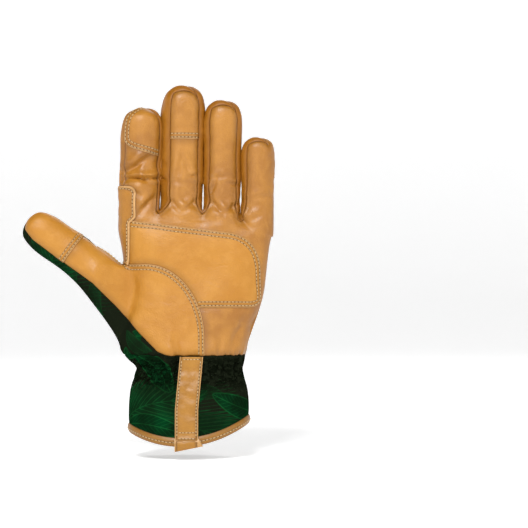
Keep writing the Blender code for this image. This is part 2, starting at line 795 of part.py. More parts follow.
def shell(form, pieces, name, inner, outer, inside_of=None):
    """Closed wall over one piece's faces, from one height above the form to another."""
    sheet = bmesh.new()
    outward = sheet.verts.layers.float_vector.new("outward")
    copies = {}
    for face in form.faces:
        place = face.calc_center_median()
        overlaid = inside_of and pieces[face] == "palm_leather" and inside_of(place) < 0
        if pieces[face] != name and not overlaid:
            continue
        for vertex in face.verts:
            if vertex not in copies:
                copies[vertex] = sheet.verts.new(vertex.co)
                copies[vertex][outward] = vertex.normal
        sheet.faces.new([copies[vertex] for vertex in face.verts])
    sheet.normal_update()
    draw_in_border(sheet, SEAM_GAP)
    inside = list(sheet.verts)
    grown = bmesh.ops.extrude_face_region(sheet, geom=sheet.faces[:], use_keep_orig=True)
    raised = [item for item in grown["geom"] if isinstance(item, bmesh.types.BMVert)]
    for vertex in raised:
        vertex.co += outer * vertex[outward]
    for vertex in inside:
        vertex.co += inner * vertex[outward]
    bmesh.ops.triangulate(sheet, faces=sheet.faces[:])
    bmesh.ops.recalc_face_normals(sheet, faces=sheet.faces[:])
    if sheet.calc_volume(signed=True) < 0:
        bmesh.ops.reverse_faces(sheet, faces=sheet.faces[:])
    mesh = bpy.data.meshes.new(name)
    sheet.to_mesh(mesh)
    sheet.free()
    return mesh


def front_of(surface, left, width, low, high):
    """Foremost y of the form within a small window of its front."""
    depths = []
    for across in range(9):
        for up in range(4):
            origin = Vector((left + width * across / 8, -1.0, mix(low, high, up / 3)))
            hit = surface.ray_cast(origin, Vector((0.0, 1.0, 0.0)))[0]
            if hit:
                depths.append(hit.y)
    return min(depths)


def pull_strap(form):
    """Strap from the palm's leather down over the cuff and the binding, with its end hanging free."""
    surface = BVHTree.FromBMesh(form)
    hem = -CUFF_LENGTH - HEM_DIP
    top = PALM_EDGE_HEIGHT - LAYER_GAP
    step = (top - hem + STRAP_TAIL) / STRAP_ROWS
    sheet = bmesh.new()
    rows = []
    for row in range(STRAP_ROWS + 1):
        z = top - row * step
        middle = mix(STRAP_TOP_X, STRAP_BOTTOM_X, min(1.0, 1.6 * row / STRAP_ROWS))
        left = middle - STRAP_WIDTH / 2
        seen = max(z, hem + SEAM_GAP)
        front = front_of(surface, left, STRAP_WIDTH, seen - step / 2, seen + step)
        if z < hem + BINDING_HEIGHT + 2 * step:
            front -= STRAP_RISE
        xs = [left + STRAP_WIDTH * across / 4 for across in range(5)]
        rows.append([sheet.verts.new((x, front - LAYER_GAP, z)) for x in xs])
    for high, low in zip(rows, rows[1:]):
        for across in range(4):
            sheet.faces.new((low[across], low[across + 1], high[across + 1], high[across]))
    mesh = bpy.data.meshes.new("pull_strap")
    sheet.to_mesh(mesh)
    sheet.free()
    return mesh


def material(name, colour, roughness):
    made = bpy.data.materials.new(name)
    made.use_nodes = True
    shader = made.node_tree.nodes["Principled BSDF"]
    shader.inputs["Base Color"].default_value = (*colour, 1.0)
    shader.inputs["Roughness"].default_value = roughness
    shader.inputs["Metallic"].default_value = 0.0
    return made


def add_piece(collection, parent, mesh, finish):
    item = bpy.data.objects.new(mesh.name, mesh)
    item.parent = parent
    mesh.materials.clear()
    mesh.materials.append(finish)
    collection.objects.link(item)
    return item


def main():
    clear_scene()
    cage = build_cage()
    form_mesh = smooth_form(cage)
    form = bmesh.new()
    form.from_mesh(form_mesh)
    bpy.data.meshes.remove(form_mesh)
    for field, names in SEAMS:
        cut_along(form, field, [cage.zones.index(name) for name in names])
    form.normal_update()
    press_dents(form)
    press_gathers(form)
    pieces = {}
    for face in form.faces:
        pieces[face] = piece_of(cage.zones[face.material_index], face.calc_center_median())

    settle_strays(form, pieces)

    glove = bpy.data.collections.new("gardening_glove")
    bpy.context.scene.collection.children.link(glove)
    base = bpy.data.objects.new("glove_origin", None)
    glove.objects.link(base)
    leather = material("leather", LEATHER_COLOUR, 0.5)
    cloth = material("printed_cloth", CLOTH_COLOUR, 0.7)

    for name in sorted(set(pieces.values())):
        in_cloth = "cloth" in name or name == "index_back_inset"
        wall = CLOTH if in_cloth else LEATHER
        outer = 0.0
        if name == "hem_binding":
            wall = BINDING
            outer = (BINDING - CLOTH) / 2
        mesh = shell(form, pieces, name, outer - wall, outer)
        add_piece(glove, base, mesh, cloth if in_cloth else leather)
    patch = shell(form, pieces, "palm_patch", LAYER_GAP, LAYER_GAP + PATCH_THICKNESS, palm_patch)
    add_piece(glove, base, patch, leather)
    strap = add_piece(glove, base, pull_strap(form), leather)
    thicken = strap.modifiers.new("thickness", "SOLIDIFY")
    thicken.thickness = STRAP_THICKNESS
    thicken.offset = 1.0
    form.free()


main()
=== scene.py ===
"""Looks of the gardening glove: soft leather, printed cloth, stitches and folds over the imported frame.

The smooth form is the one that the frame's solids were cut from, worked out again from the same
sizes and then cut, creased and sewn at a finer scale.
"""
import math
from functools import partial

import bmesh
import bpy
import numpy as np
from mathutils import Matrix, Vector, noise
from mathutils.bvhtree import BVHTree
from mathutils.kdtree import KDTree


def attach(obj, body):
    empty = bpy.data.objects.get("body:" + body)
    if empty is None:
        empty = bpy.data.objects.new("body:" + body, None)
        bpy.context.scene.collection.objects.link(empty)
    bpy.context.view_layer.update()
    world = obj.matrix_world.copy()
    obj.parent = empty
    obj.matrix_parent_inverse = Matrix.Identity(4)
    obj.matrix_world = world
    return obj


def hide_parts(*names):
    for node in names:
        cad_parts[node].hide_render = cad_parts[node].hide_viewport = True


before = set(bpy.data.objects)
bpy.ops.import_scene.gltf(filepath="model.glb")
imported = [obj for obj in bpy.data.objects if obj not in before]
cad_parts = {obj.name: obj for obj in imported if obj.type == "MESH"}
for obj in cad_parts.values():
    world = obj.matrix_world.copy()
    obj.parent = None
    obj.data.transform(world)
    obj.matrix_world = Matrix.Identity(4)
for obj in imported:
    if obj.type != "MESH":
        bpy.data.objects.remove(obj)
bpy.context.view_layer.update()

# The hand, from the wrist up to the roots of the fingers.
ROOT_HEIGHT = 0.1055
PALM_DEPTH = 0.040
PALM_SHIFT = 0.0050
WRIST_WIDTH = 0.0730
WRIST_DEPTH = 0.0440
FINGER_GAP = 0.0012
FINGER_CURL = 0.0060
FINGERS = (
    dict(name="index", length=0.0752, width=0.0280, depth=0.0245, lean=0.0030, seams=(-8, 22)),
    dict(name="middle", length=0.0904, width=0.0292, depth=0.0250, lean=0.0019, seams=(10, 7)),
    dict(name="ring", length=0.0801, width=0.0252, depth=0.0232, lean=0.0010, seams=(0, 10)),
    dict(name="little", length=0.0546, width=0.0226, depth=0.0212, lean=0.0008, seams=(0, 0)),
)
# The arched end of a finger's front panel, in shares of the finger's half width.
ARCH_WIDTH = 0.86
ARCH_HEIGHT = 0.76
ROOT_DROPS = (0.0040, -0.0015, -0.0010, 0.0040, 0.0130)
FINGER_RING_PITCH = 0.0150
FIRST_RING = 0.0100
ROOT_CROWN = 0.0020
WEB_RISE = 0.0022
SIDE_COLUMN = 0.13
THUMB_LENGTH = 0.0752
THUMB_WIDTH = 0.0280
THUMB_DEPTH = 0.0250
THUMB_ANGLE = math.radians(143.7)
THUMB_ROOT = (-0.0519, 0.0574)
THUMB_FORWARD = 0.0040
THUMB_CURL = 0.0060
CUFF_LENGTH = 0.0428
CUFF_WIDTH = 0.0842
CUFF_DEPTH = 0.0570
HEM_DIP = 0.0116
HEM_TILT = 0.0029
BINDING_HEIGHT = 0.0062

# Seams and edges, as in the frame.
PALM_EDGE_HEIGHT = 0.0077
THUMB_SEAM_CENTRE = (-0.0300, 0.0200)
THUMB_SEAM_WIDTH = 0.0413
THUMB_SEAM_HEIGHT = 0.0515
PATCH_LEFT = -0.0450
PATCH_RIGHT = 0.0500
PATCH_BOTTOM = 0.0415
PATCH_TOP = 0.0968
PATCH_SLOPE = 0.1200
PATCH_CORNER = 0.0240
SADDLE_BOTTOM = 0.0690
SADDLE_TOP = 0.1262
SADDLE_WIDTH = 0.0085
SADDLE_STEP_HEIGHT = 0.1000
SADDLE_STEP = 0.0040
SADDLE_CORNER = 0.0060
SADDLE_BACK_RADIUS = 0.0235
BACK_SEAM_X = -0.0395
THUMB_EDGE_REACH = (-0.1144, 0.1024)
# Lower edge of the thumb leather, in shares of that reach, from past the tip to the wrist.
THUMB_EDGE = ((1.10, 1.08), (0.945, 0.860), (0.786, 0.727), (0.577, 0.563),
              (0.441, 0.411), (0.307, 0.240), (0.184, 0.103), (0.122, 0.075))
THUMB_EDGE_POINTS = [(across * THUMB_EDGE_REACH[0], up * THUMB_EDGE_REACH[1]) for across, up in THUMB_EDGE]
INDEX_CAP = 0.0295
INDEX_CAP_SLANT = 0.0080
INDEX_CAP_SIDE = 0.0032
INDEX_CAP_CORNER = 0.0100
MIDDLE_CAP = 0.0370
THUMB_CAP = 0.0380
INDEX_BACK_LENGTH = 0.0740
INDEX_BACK_SLANT = -0.0140
MIDDLE_BACK_CAP = 0.0275
RING_BACK_CAP = 0.0280
RING_BACK_SLANT = 0.0080
LITTLE_BACK_CAP = 0.0290
INSET_DROP = 0.0350
INSET_HEIGHT = 0.0240
INSET_WIDTH = 0.0190
# A point nearer than this share of its edge to a seam is moved onto it.
SNAP = 0.22
# The front is where the form's normal has a y below this.
FACING_FRONT = -0.2

# Heights in shares of ROOT_HEIGHT, sides in shares of the palm's half width, depths in shares
# of PALM_DEPTH.
PALM_SECTIONS = (
    dict(height=0.853, left=-0.985, right=0.972, front=0.385, back=0.370),
    dict(height=0.664, left=-0.925, right=0.917, front=0.435, back=0.405),
    dict(height=0.445, left=-0.930, right=0.858, front=0.500, back=0.430),
    dict(height=0.208, left=-1.040, right=0.703, front=0.560, back=0.480),
    dict(height=0.076, left=-0.925, right=0.629, front=0.590, back=0.550),
)
# Drops in shares of CUFF_LENGTH, widths and depths from the wrist's size (0) to the cuff's (1).
CUFF_SECTIONS = (
    dict(drop=0.00, width=0.00, depth=0.00, dip=0.00),
    dict(drop=0.17, width=0.18, depth=0.28, dip=0.05),
    dict(drop=0.40, width=0.80, depth=0.72, dip=0.22),
    dict(drop=0.70, width=1.00, depth=1.00, dip=0.55),
    dict(drop=1.00, width=0.97, depth=0.97, dip=1.00),
)
# Shares of THUMB_LENGTH from the tip, of THUMB_WIDTH and of THUMB_DEPTH.
THUMB_SECTIONS = (
    dict(along=0.063, width=0.76, depth=0.76, drift=0.00, slant=0.00),
    dict(along=0.185, width=0.98, depth=0.98, drift=0.00, slant=0.00),
    dict(along=0.360, width=1.00, depth=1.00, drift=0.00, slant=0.00),
    dict(along=0.540, width=1.01, depth=1.04, drift=0.01, slant=0.02),
    dict(along=0.710, width=1.05, depth=1.10, drift=-0.03, slant=0.10),
    dict(along=0.870, width=1.22, depth=1.18, drift=-0.09, slant=0.30),
)
# Creases and hollows pressed into the front of the form. Places and sizes across are shares of
# the palm's half width, heights are shares of ROOT_HEIGHT and depths are shares of PALM_DEPTH.
DENTS = (
    dict(across=-0.87, up=1.28, wide=0.20, tall=0.083, turn=0.25, depth=0.045),
    dict(across=-0.55, up=1.35, wide=0.17, tall=0.074, turn=-0.30, depth=0.030),
    dict(across=-0.15, up=1.11, wide=0.17, tall=0.074, turn=0.20, depth=0.035),
    dict(across=0.35, up=1.09, wide=0.15, tall=0.074, turn=-0.15, depth=0.030),
    dict(across=0.79, up=1.06, wide=0.15, tall=0.074, turn=0.20, depth=0.025),
    dict(across=0.13, up=0.62, wide=0.37, tall=0.440, turn=0.00, depth=0.055),
    dict(across=0.72, up=0.27, wide=0.29, tall=0.110, turn=0.50, depth=0.030),
)

RING_POINTS = 20
RIGHT_SIDE = 10
THUMB_ROWS = (2, 3, 4)
FINGER_COLUMNS = (
    (0, 1, 2, 3, "crotch 0", 17, 18, 19),
    ("crotch 0", 3, 4, 5, "crotch 1", 15, 16, 17),
    ("crotch 1", 5, 6, 7, "crotch 2", 13, 14, 15),
    ("crotch 2", 7, 8, 9, 10, 11, 12, 13),
)
SIDE_OF_SEGMENT = ("left", "front", "front", "right", "right", "back", "back", "left")

PALM_WIDTH = sum(finger["width"] for finger in FINGERS) + 3 * FINGER_GAP
PALM_LEFT = PALM_SHIFT - PALM_WIDTH / 2
THUMB_AXIS = Vector((math.cos(THUMB_ANGLE), 0.0, math.sin(THUMB_ANGLE)))
THUMB_ACROSS = Vector((math.sin(THUMB_ANGLE), 0.0, -math.cos(THUMB_ANGLE)))
THUMB_TIP = Vector((THUMB_ROOT[0], 0.0, THUMB_ROOT[1])) + THUMB_LENGTH * THUMB_AXIS


def mix(a, b, share):
    return a + (b - a) * share


def smooth_max(a, b, radius):
    """The larger of two distances, with the corner between them rounded."""
    blend = max(radius - abs(a - b), 0.0) / radius
    return max(a, b) + blend * blend * radius / 4


def finger_edges():
    """Left and right x of each finger at its root."""
    edges = []
    left = PALM_LEFT
    for finger in FINGERS:
        edges.append((left, left + finger["width"]))
        left += finger["width"] + FINGER_GAP
    return edges


def column_shares():
    """Across the hand, from -1 at the index side to 1 at the little side, for the front columns."""
    edges = finger_edges()
    inner = FINGERS[0]["width"] * SIDE_COLUMN
    xs = [PALM_LEFT, PALM_LEFT + inner]
    for number, (left, right) in enumerate(edges):
        xs.append((left + right) / 2)
        if number < 3:
            xs.append(right + FINGER_GAP / 2)
    xs.append(edges[3][1] - inner)
    xs.append(edges[3][1])
    return [(x - PALM_SHIFT) / (PALM_WIDTH / 2) for x in xs]


def front_shares(settle):
    """Column places, from the fingers' own (settle 0) to even steps round the wrist (settle 1)."""
    wrist = [-math.cos(math.pi * step / RIGHT_SIDE) for step in range(RIGHT_SIDE + 1)]
    return [mix(a, b, settle) for a, b in zip(column_shares(), wrist)]


def oval(share, power):
    """Depth of a rounded section at a place across it."""
    return max(1.0 - abs(share) ** power, 0.0) ** (1.0 / power)


def palm_ring(cage, row, height, sides, depths, settle, power, dip=0.0, tilt=0.0):
    """One ring of points round the hand or the cuff, sagging by dip and lower by tilt at the thumb side."""
    left, right = sides
    front, back = depths
    shares = front_shares(settle)
    around = shares + shares[-2:0:-1]
    for column in range(RING_POINTS):
        share = around[column]
        x = mix(left, right, (share + 1) / 2)
        depth = -front if column <= RIGHT_SIDE else back
        y = depth * oval(share, power)
        z = height - dip * oval(share, 2.0) ** 2 + tilt * share
        cage.points["palm", row, column] = Vector((x, y, z))


def root_ring(cage):
    """The row of points where the fingers leave the hand, with a web in each crotch."""
    shares = column_shares()
    around = shares + shares[-2:0:-1]
    drops = [ROOT_DROPS[0], ROOT_DROPS[0] * 0.6, -ROOT_CROWN / 2]
    for crotch in (1, 2, 3):
        drops += [ROOT_DROPS[crotch], ROOT_DROPS[crotch] / 2 + ROOT_DROPS[crotch + 1] / 2 - ROOT_CROWN]
    drops += [ROOT_DROPS[4] * 0.8, ROOT_DROPS[4]]
    around_drops = drops + drops[-2:0:-1]
    valleys = (3, 5, 7, 13, 15, 17)
    for column in range(RING_POINTS):
        share = around[column]
        x = PALM_SHIFT + share * PALM_WIDTH / 2
        side = -1.0 if column <= RIGHT_SIDE else 1.0
        depth = PALM_DEPTH * 0.345 * oval(share, 3.0)
        if column in valleys:
            depth *= 0.62
        cage.points["palm", 0, column] = Vector((x, side * depth, ROOT_HEIGHT - around_drops[column]))
    for crotch in range(3):
        front = cage.points["palm", 0, 3 + 2 * crotch]
        cage.points["palm", 0, "crotch %d" % crotch] = Vector((front.x, 0.0, front.z + WEB_RISE))


def finger_turns(finger):
    """Directions of a finger's eight points, with its front seams where the front panel ends."""
    left, right = finger["seams"]
    return (180, 225 + left, 270 + (left + right) / 2, 315 + right, 360, 405, 450, 495)


def finger_rings(cage, number, finger):
    """Rings from the root up to the tip, then the tip's own point."""
    left, right = finger_edges()[number]
    middle = (left + right) / 2
    radius = finger["width"] / 2
    body = finger["length"] - 1.02 * radius - FIRST_RING
    count = max(2, round(body / FINGER_RING_PITCH))
    rises = [FIRST_RING + body * step / count for step in range(count + 1)]
    sizes = [1.0] * len(rises)
    rises.append(finger["length"] - 0.34 * radius)
    sizes.append(0.77)
    for ring, (rise, size) in enumerate(zip(rises, sizes)):
        share = rise / finger["length"]
        centre = Vector((middle + finger["lean"] * share, -FINGER_CURL * share ** 2, ROOT_HEIGHT + rise))
        waist = 1.0 - 0.015 * math.cos(4 * math.pi * share)
        for point, degrees in enumerate(finger_turns(finger)):
            turn = math.radians(degrees)
            x = radius * size * waist * math.cos(turn)
            y = finger["depth"] / 2 * size * math.sin(turn)
            cage.points[finger["name"], ring + 1, point] = centre + Vector((x, y, 0.0))
    tip = Vector((middle + finger["lean"], -FINGER_CURL, ROOT_HEIGHT + finger["length"]))
    cage.points[finger["name"], "tip"] = tip
    cage.rings[finger["name"]] = len(rises)


def thumb_rings(cage):
    """Rings from the thumb's root out to its tip."""
    sections = THUMB_SECTIONS[::-1]
    for ring, section in enumerate(sections):
        away = section["along"] * THUMB_LENGTH
        forward = THUMB_FORWARD + THUMB_CURL * (1.0 - section["along"]) ** 2
        centre = THUMB_TIP - away * THUMB_AXIS + section["drift"] * THUMB_WIDTH * THUMB_ACROSS
        centre.y = -forward
        for point in range(8):
            turn = point * math.pi / 4
            across = THUMB_WIDTH / 2 * section["width"] * math.cos(turn)
            slide = section["slant"] * THUMB_WIDTH / 2 * math.cos(turn)
            depth = THUMB_DEPTH / 2 * section["depth"] * math.sin(turn)
            place = centre + across * THUMB_ACROSS + slide * THUMB_AXIS
            place.y += depth
            cage.points["thumb", ring + 1, point] = place
    tip = THUMB_TIP.copy()
    tip.y = -THUMB_FORWARD - THUMB_CURL
    cage.points["thumb", "tip"] = tip
    cage.rings["thumb"] = len(sections)


class Cage:
    """Points by name, and the four-sided faces between them with the zone that each is in."""

    def __init__(self):
        self.points = {}
        self.rings = {}
        self.faces = []
        self.zones = []

    def face(self, corners, zone):
        if zone not in self.zones:
            self.zones.append(zone)
        self.faces.append((corners, self.zones.index(zone)))

    def tube(self, name, base, sides):
        """Faces of a finger from its base ring to its closed end."""
        rows = [base]
        for ring in range(1, self.rings[name] + 1):
            rows.append([(name, ring, point) for point in range(8)])
        for low, high in zip(rows, rows[1:]):
            for point in range(8):
                nxt = (point + 1) % 8
                self.face((low[point], low[nxt], high[nxt], high[point]), name + " " + sides[point])
        top = rows[-1]
        for corner in (1, 3, 5, 7):
            quad = (top[corner], top[(corner + 1) % 8], top[(corner + 2) % 8], (name, "tip"))
            self.face(quad, name + " " + sides[corner])


def hand_faces(cage, rows):
    """Faces of the palm, the back and the cuff, with the thumb's opening left out."""
    for row in range(rows - 1):
        for column in range(RING_POINTS):
            if row in THUMB_ROWS[:2] and column in (0, RING_POINTS - 1):
                continue
            nxt = (column + 1) % RING_POINTS
            side = "front" if column < RIGHT_SIDE else "back"
            part = "palm " if row < 5 else "cuff "
            corners = [("palm", row + 1, column), ("palm", row + 1, nxt)]
            corners += [("palm", row, nxt), ("palm", row, column)]
            cage.face(tuple(corners), part + side)


def build_cage():
    cage = Cage()
    half = PALM_WIDTH / 2
    root_ring(cage)
    for row, section in enumerate(PALM_SECTIONS, start=1):
        sides = (PALM_SHIFT + section["left"] * half, PALM_SHIFT + section["right"] * half)
        depths = (section["front"] * PALM_DEPTH, section["back"] * PALM_DEPTH)
        settle = (row / len(PALM_SECTIONS)) ** 1.3
        palm_ring(cage, row, section["height"] * ROOT_HEIGHT, sides, depths, settle, mix(2.8, 2.1, settle))
    for row, section in enumerate(CUFF_SECTIONS, start=len(PALM_SECTIONS) + 1):
        width = mix(WRIST_WIDTH, CUFF_WIDTH, section["width"]) / 2
        depth = mix(WRIST_DEPTH, CUFF_DEPTH, section["depth"]) / 2
        height = -section["drop"] * CUFF_LENGTH
        dip = section["dip"] * HEM_DIP
        tilt = section["dip"] * HEM_TILT
        palm_ring(cage, row, height, (-width, width), (depth, depth), 1.0, 2.1, dip, tilt)
    hand_faces(cage, 1 + len(PALM_SECTIONS) + len(CUFF_SECTIONS))
    for number, finger in enumerate(FINGERS):
        finger_rings(cage, number, finger)
        base = [("palm", 0, column) for column in FINGER_COLUMNS[number]]
        cage.tube(finger["name"], base, SIDE_OF_SEGMENT)
    thumb_rings(cage)
    top, middle, bottom = THUMB_ROWS
    base = [("palm", top, 0), ("palm", top, 19), ("palm", middle, 19), ("palm", bottom, 19),
            ("palm", bottom, 0), ("palm", bottom, 1), ("palm", middle, 1), ("palm", top, 1)]
    cage.tube("thumb", base, ("back",) * 4 + ("front",) * 4)
    return cage


def new_mesh(name, places, faces, smooth=True):
    mesh = bpy.data.meshes.new(name)
    mesh.from_pydata(places, [], faces)
    mesh.polygons.foreach_set("use_smooth", [smooth] * len(faces))
    return mesh


def add_values(mesh, name, values, kind="FLOAT"):
    """Give each point of a mesh a value, or a vector, that its finish reads."""
    layer = mesh.attributes.new(name, kind, "POINT")
    field = "vector" if kind == "FLOAT_VECTOR" else "value"
    layer.data.foreach_set(field, np.asarray(values).astype(np.float32).ravel())


def cage_mesh(cage):
    used = sorted({corner for corners, _ in cage.faces for corner in corners}, key=str)
    number = {key: index for index, key in enumerate(used)}
    places = [cage.points[key] for key in used]
    quads = [[number[corner] for corner in corners] for corners, _ in cage.faces]
    mesh = new_mesh("glove_cage", places, quads)
    for polygon, (_, zone) in zip(mesh.polygons, cage.faces):
        polygon.material_index = zone
    return mesh


def evaluated(item):
    graph = bpy.context.evaluated_depsgraph_get()
    graph.update()
    return bpy.data.meshes.new_from_object(item.evaluated_get(graph))


def smooth_form(cage, level):
    """Subdivide the cage after moving its points until the smooth surface passes through the sections."""
    mesh = cage_mesh(cage)
    item = bpy.data.objects.new("glove_form", mesh)
    bpy.context.scene.collection.objects.link(item)
    smooth = item.modifiers.new("smooth", "SUBSURF")
    smooth.levels = smooth.render_levels = 1
    targets = [vertex.co.copy() for vertex in mesh.vertices]
    for _ in range(6):
        limit = evaluated(item)
        for vertex, target in zip(mesh.vertices, targets):
            vertex.co += target - limit.vertices[vertex.index].co
        mesh.update()
        bpy.data.meshes.remove(limit)
    smooth.levels = smooth.render_levels = level
    form = evaluated(item)
    bpy.data.objects.remove(item, do_unlink=True)
    return form


def dent_depth(dent, place):
    """How far one dent presses in at a place on the front."""
    half = PALM_WIDTH / 2
    dx = (place.x - PALM_SHIFT) / half - dent["across"]
    dz = (place.z - dent["up"] * ROOT_HEIGHT) / half
    along = dx * math.cos(dent["turn"]) + dz * math.sin(dent["turn"])
    across = dz * math.cos(dent["turn"]) - dx * math.sin(dent["turn"])
    return dent["depth"] * PALM_DEPTH * math.exp(-(along / dent["wide"]) ** 2 - (across / dent["tall"]) ** 2)


def finger_centre(number):
    left, right = finger_edges()[number]
    return (left + right) / 2


def below_tip(number, place, length, slant=0.0):
    """Negative nearer the finger's tip than a seam across it."""
    finger = FINGERS[number]
    share = (place.x - finger_centre(number)) / finger["width"]
    tip = ROOT_HEIGHT + finger["length"]
    return tip - place.z - length - slant * share


def thumb_seam(place):
    """Negative inside the curved seam round the ball of the thumb."""
    across = max(place.x - THUMB_SEAM_CENTRE[0], 0.0) / THUMB_SEAM_WIDTH
    up = max(place.z - THUMB_SEAM_CENTRE[1], 0.0) / THUMB_SEAM_HEIGHT
    return (math.hypot(across, up) - 1.0) * THUMB_SEAM_WIDTH


def palm_edge(place):
    return place.z - PALM_EDGE_HEIGHT


def thumb_edge(place):
    """Height above the edge where the thumb's leather meets its cloth."""
    for (left, low), (right, high) in zip(THUMB_EDGE_POINTS, THUMB_EDGE_POINTS[1:]):
        if place.x < right:
            return place.z - mix(low, high, (place.x - left) / (right - left))
    return place.z - high + (place.x - right)


def thumb_cap(place):
    return (THUMB_TIP - place).dot(THUMB_AXIS) - THUMB_CAP


def saddle_front(place):
    """Negative inside the narrow leather patch up the index side of the palm."""
    rise = min(max((place.z - SADDLE_STEP_HEIGHT) / SADDLE_STEP, 0.0), 1.0)
    side = place.x - (PALM_LEFT + SADDLE_WIDTH + SADDLE_STEP * rise)
    ends = max(SADDLE_BOTTOM - place.z, place.z - SADDLE_TOP)
    return smooth_max(side, ends, SADDLE_CORNER)


def saddle_back(place):
    """Negative inside the leather that wraps the thumb crotch and runs up behind the index finger."""
    crotch_x = PALM_SHIFT + PALM_SECTIONS[1]["left"] * PALM_WIDTH / 2
    crotch_z = PALM_SECTIONS[1]["height"] * ROOT_HEIGHT
    disc = math.hypot(place.x - crotch_x, place.z - crotch_z) - SADDLE_BACK_RADIUS
    beside = abs(place.x - PALM_LEFT) - 0.6 * SADDLE_WIDTH
    strip = max(beside, place.z - SADDLE_TOP, crotch_z - place.z)
    return min(disc, strip)


def palm_patch(place):
    """Negative inside the raised patch across the palm."""
    top = place.z - (PATCH_TOP - PATCH_SLOPE * place.x)
    corner = smooth_max(top, place.x - PATCH_RIGHT, PATCH_CORNER)
    low = smooth_max(corner, PATCH_BOTTOM - place.z, PATCH_CORNER / 3)
    return max(low, PATCH_LEFT - place.x, -thumb_seam(place))


def back_seam(place):
    """Negative inside the thumb's share of the back, below the thumb crotch."""
    crotch_z = PALM_SECTIONS[1]["height"] * ROOT_HEIGHT
    return max(place.x - BACK_SEAM_X, place.z - crotch_z)


def index_inset(place):
    """Negative inside the half oval of cloth on the back of the index finger."""
    centre_x = finger_edges()[0][1]
    centre_z = ROOT_HEIGHT + FINGERS[0]["length"] - INSET_DROP
    across = (place.x - centre_x) / INSET_WIDTH
    up = (place.z - centre_z) / (INSET_HEIGHT / 2)
    return (math.hypot(across, up) - 1.0) * INSET_WIDTH


def hem_edge(place):
    """Height above the top of the binding, whose line sags at the front and the back."""
    share = max(min(place.x / (CUFF_WIDTH / 2), 1.0), -1.0)
    hem = -CUFF_LENGTH - HEM_DIP * (1.0 - share * share) + HEM_TILT * share
    return place.z - hem - BINDING_HEIGHT


def index_cap(place):
    """Negative inside the index fingertip's cap, whose lower corner is rounded at the thumb side."""
    side = finger_edges()[0][0] + INDEX_CAP_SIDE - place.x
    return smooth_max(below_tip(0, place, INDEX_CAP, INDEX_CAP_SLANT), side, INDEX_CAP_CORNER)


def arch(number, place):
    """Negative inside the arched end of a finger's front panel."""
    finger = FINGERS[number]
    half = finger["width"] / 2
    rise = max(place.z - (ROOT_HEIGHT + finger["length"] - half), 0.0) / ARCH_HEIGHT
    across = (place.x - finger_centre(number) - finger["lean"]) / ARCH_WIDTH
    return math.hypot(across, rise) - half


middle_arch, ring_arch, little_arch = (partial(arch, number) for number in (1, 2, 3))
middle_cap = partial(below_tip, 1, length=MIDDLE_CAP)
index_back = partial(below_tip, 0, length=INDEX_BACK_LENGTH, slant=INDEX_BACK_SLANT)
middle_back = partial(below_tip, 1, length=MIDDLE_BACK_CAP)
ring_back = partial(below_tip, 2, length=RING_BACK_CAP, slant=RING_BACK_SLANT)
little_back = partial(below_tip, 3, length=LITTLE_BACK_CAP)

# Each seam line with the zones of the form that it crosses.
SEAMS = (
    (thumb_seam, ("palm front",)),
    (thumb_edge, ("palm front", "thumb front")),
    (palm_edge, ("palm front", "cuff front", "palm back")),
    (thumb_cap, ("thumb front",)),
    (saddle_front, ("palm front", "index front")),
    (saddle_back, ("palm back", "thumb back", "index left", "index back")),
    (palm_patch, ("palm front",)),
    (back_seam, ("palm back",)),
    (index_cap, ("index front",)),
    (middle_cap, ("middle front",)),
    (middle_arch, ("middle front",)),
    (ring_arch, ("ring front",)),
    (little_arch, ("little front",)),
    (index_back, ("index back", "palm back")),
    (index_inset, ("index back",)),
    (middle_back, ("middle back",)),
    (ring_back, ("ring back",)),
    (little_back, ("little back", "little right")),
    (hem_edge, ("cuff front", "cuff back")),
)


def cut_along(form, field, zones):
    """Split faces where a seam's field changes sign, so that piece borders run along its zero line."""
    faces = [face for face in form.faces if face.material_index in zones]
    values = {vertex: field(vertex.co) for face in faces for vertex in face.verts}
    edges = list(dict.fromkeys(edge for face in faces for edge in face.edges))
    for edge in edges:
        start, end = edge.verts
        for near, far in ((start, end), (end, start)):
            if values[near] * values[far] < 0:
                share = values[near] / (values[near] - values[far])
                if share < SNAP:
                    near.co = near.co.lerp(far.co, share)
                    values[near] = 0.0
    for edge in edges:
        start, end = edge.verts
        if values[start] * values[end] < 0:
            share = values[start] / (values[start] - values[end])
            _, added = bmesh.utils.edge_split(edge, start, share)
            values[added] = 0.0
    for face in faces:
        ends = [vertex for vertex in face.verts if values.get(vertex) == 0.0]
        if len(ends) == 2 and not any(edge.other_vert(ends[0]) == ends[1] for edge in ends[0].link_edges):
            bmesh.utils.face_split(face, ends[0], ends[1])


WALLS = {
    "index right": "index_middle_wall",
    "middle left": "index_middle_wall",
    "middle right": "middle_ring_wall",
    "ring left": "middle_ring_wall",
    "ring right": "ring_little_wall",
    "little left": "ring_little_wall",
}
BACK_CAPS = {
    "middle back": (middle_back, "middle_back_cap"),
    "ring back": (ring_back, "ring_back_cap"),
    "little back": (little_back, "little_back_cap"),
}


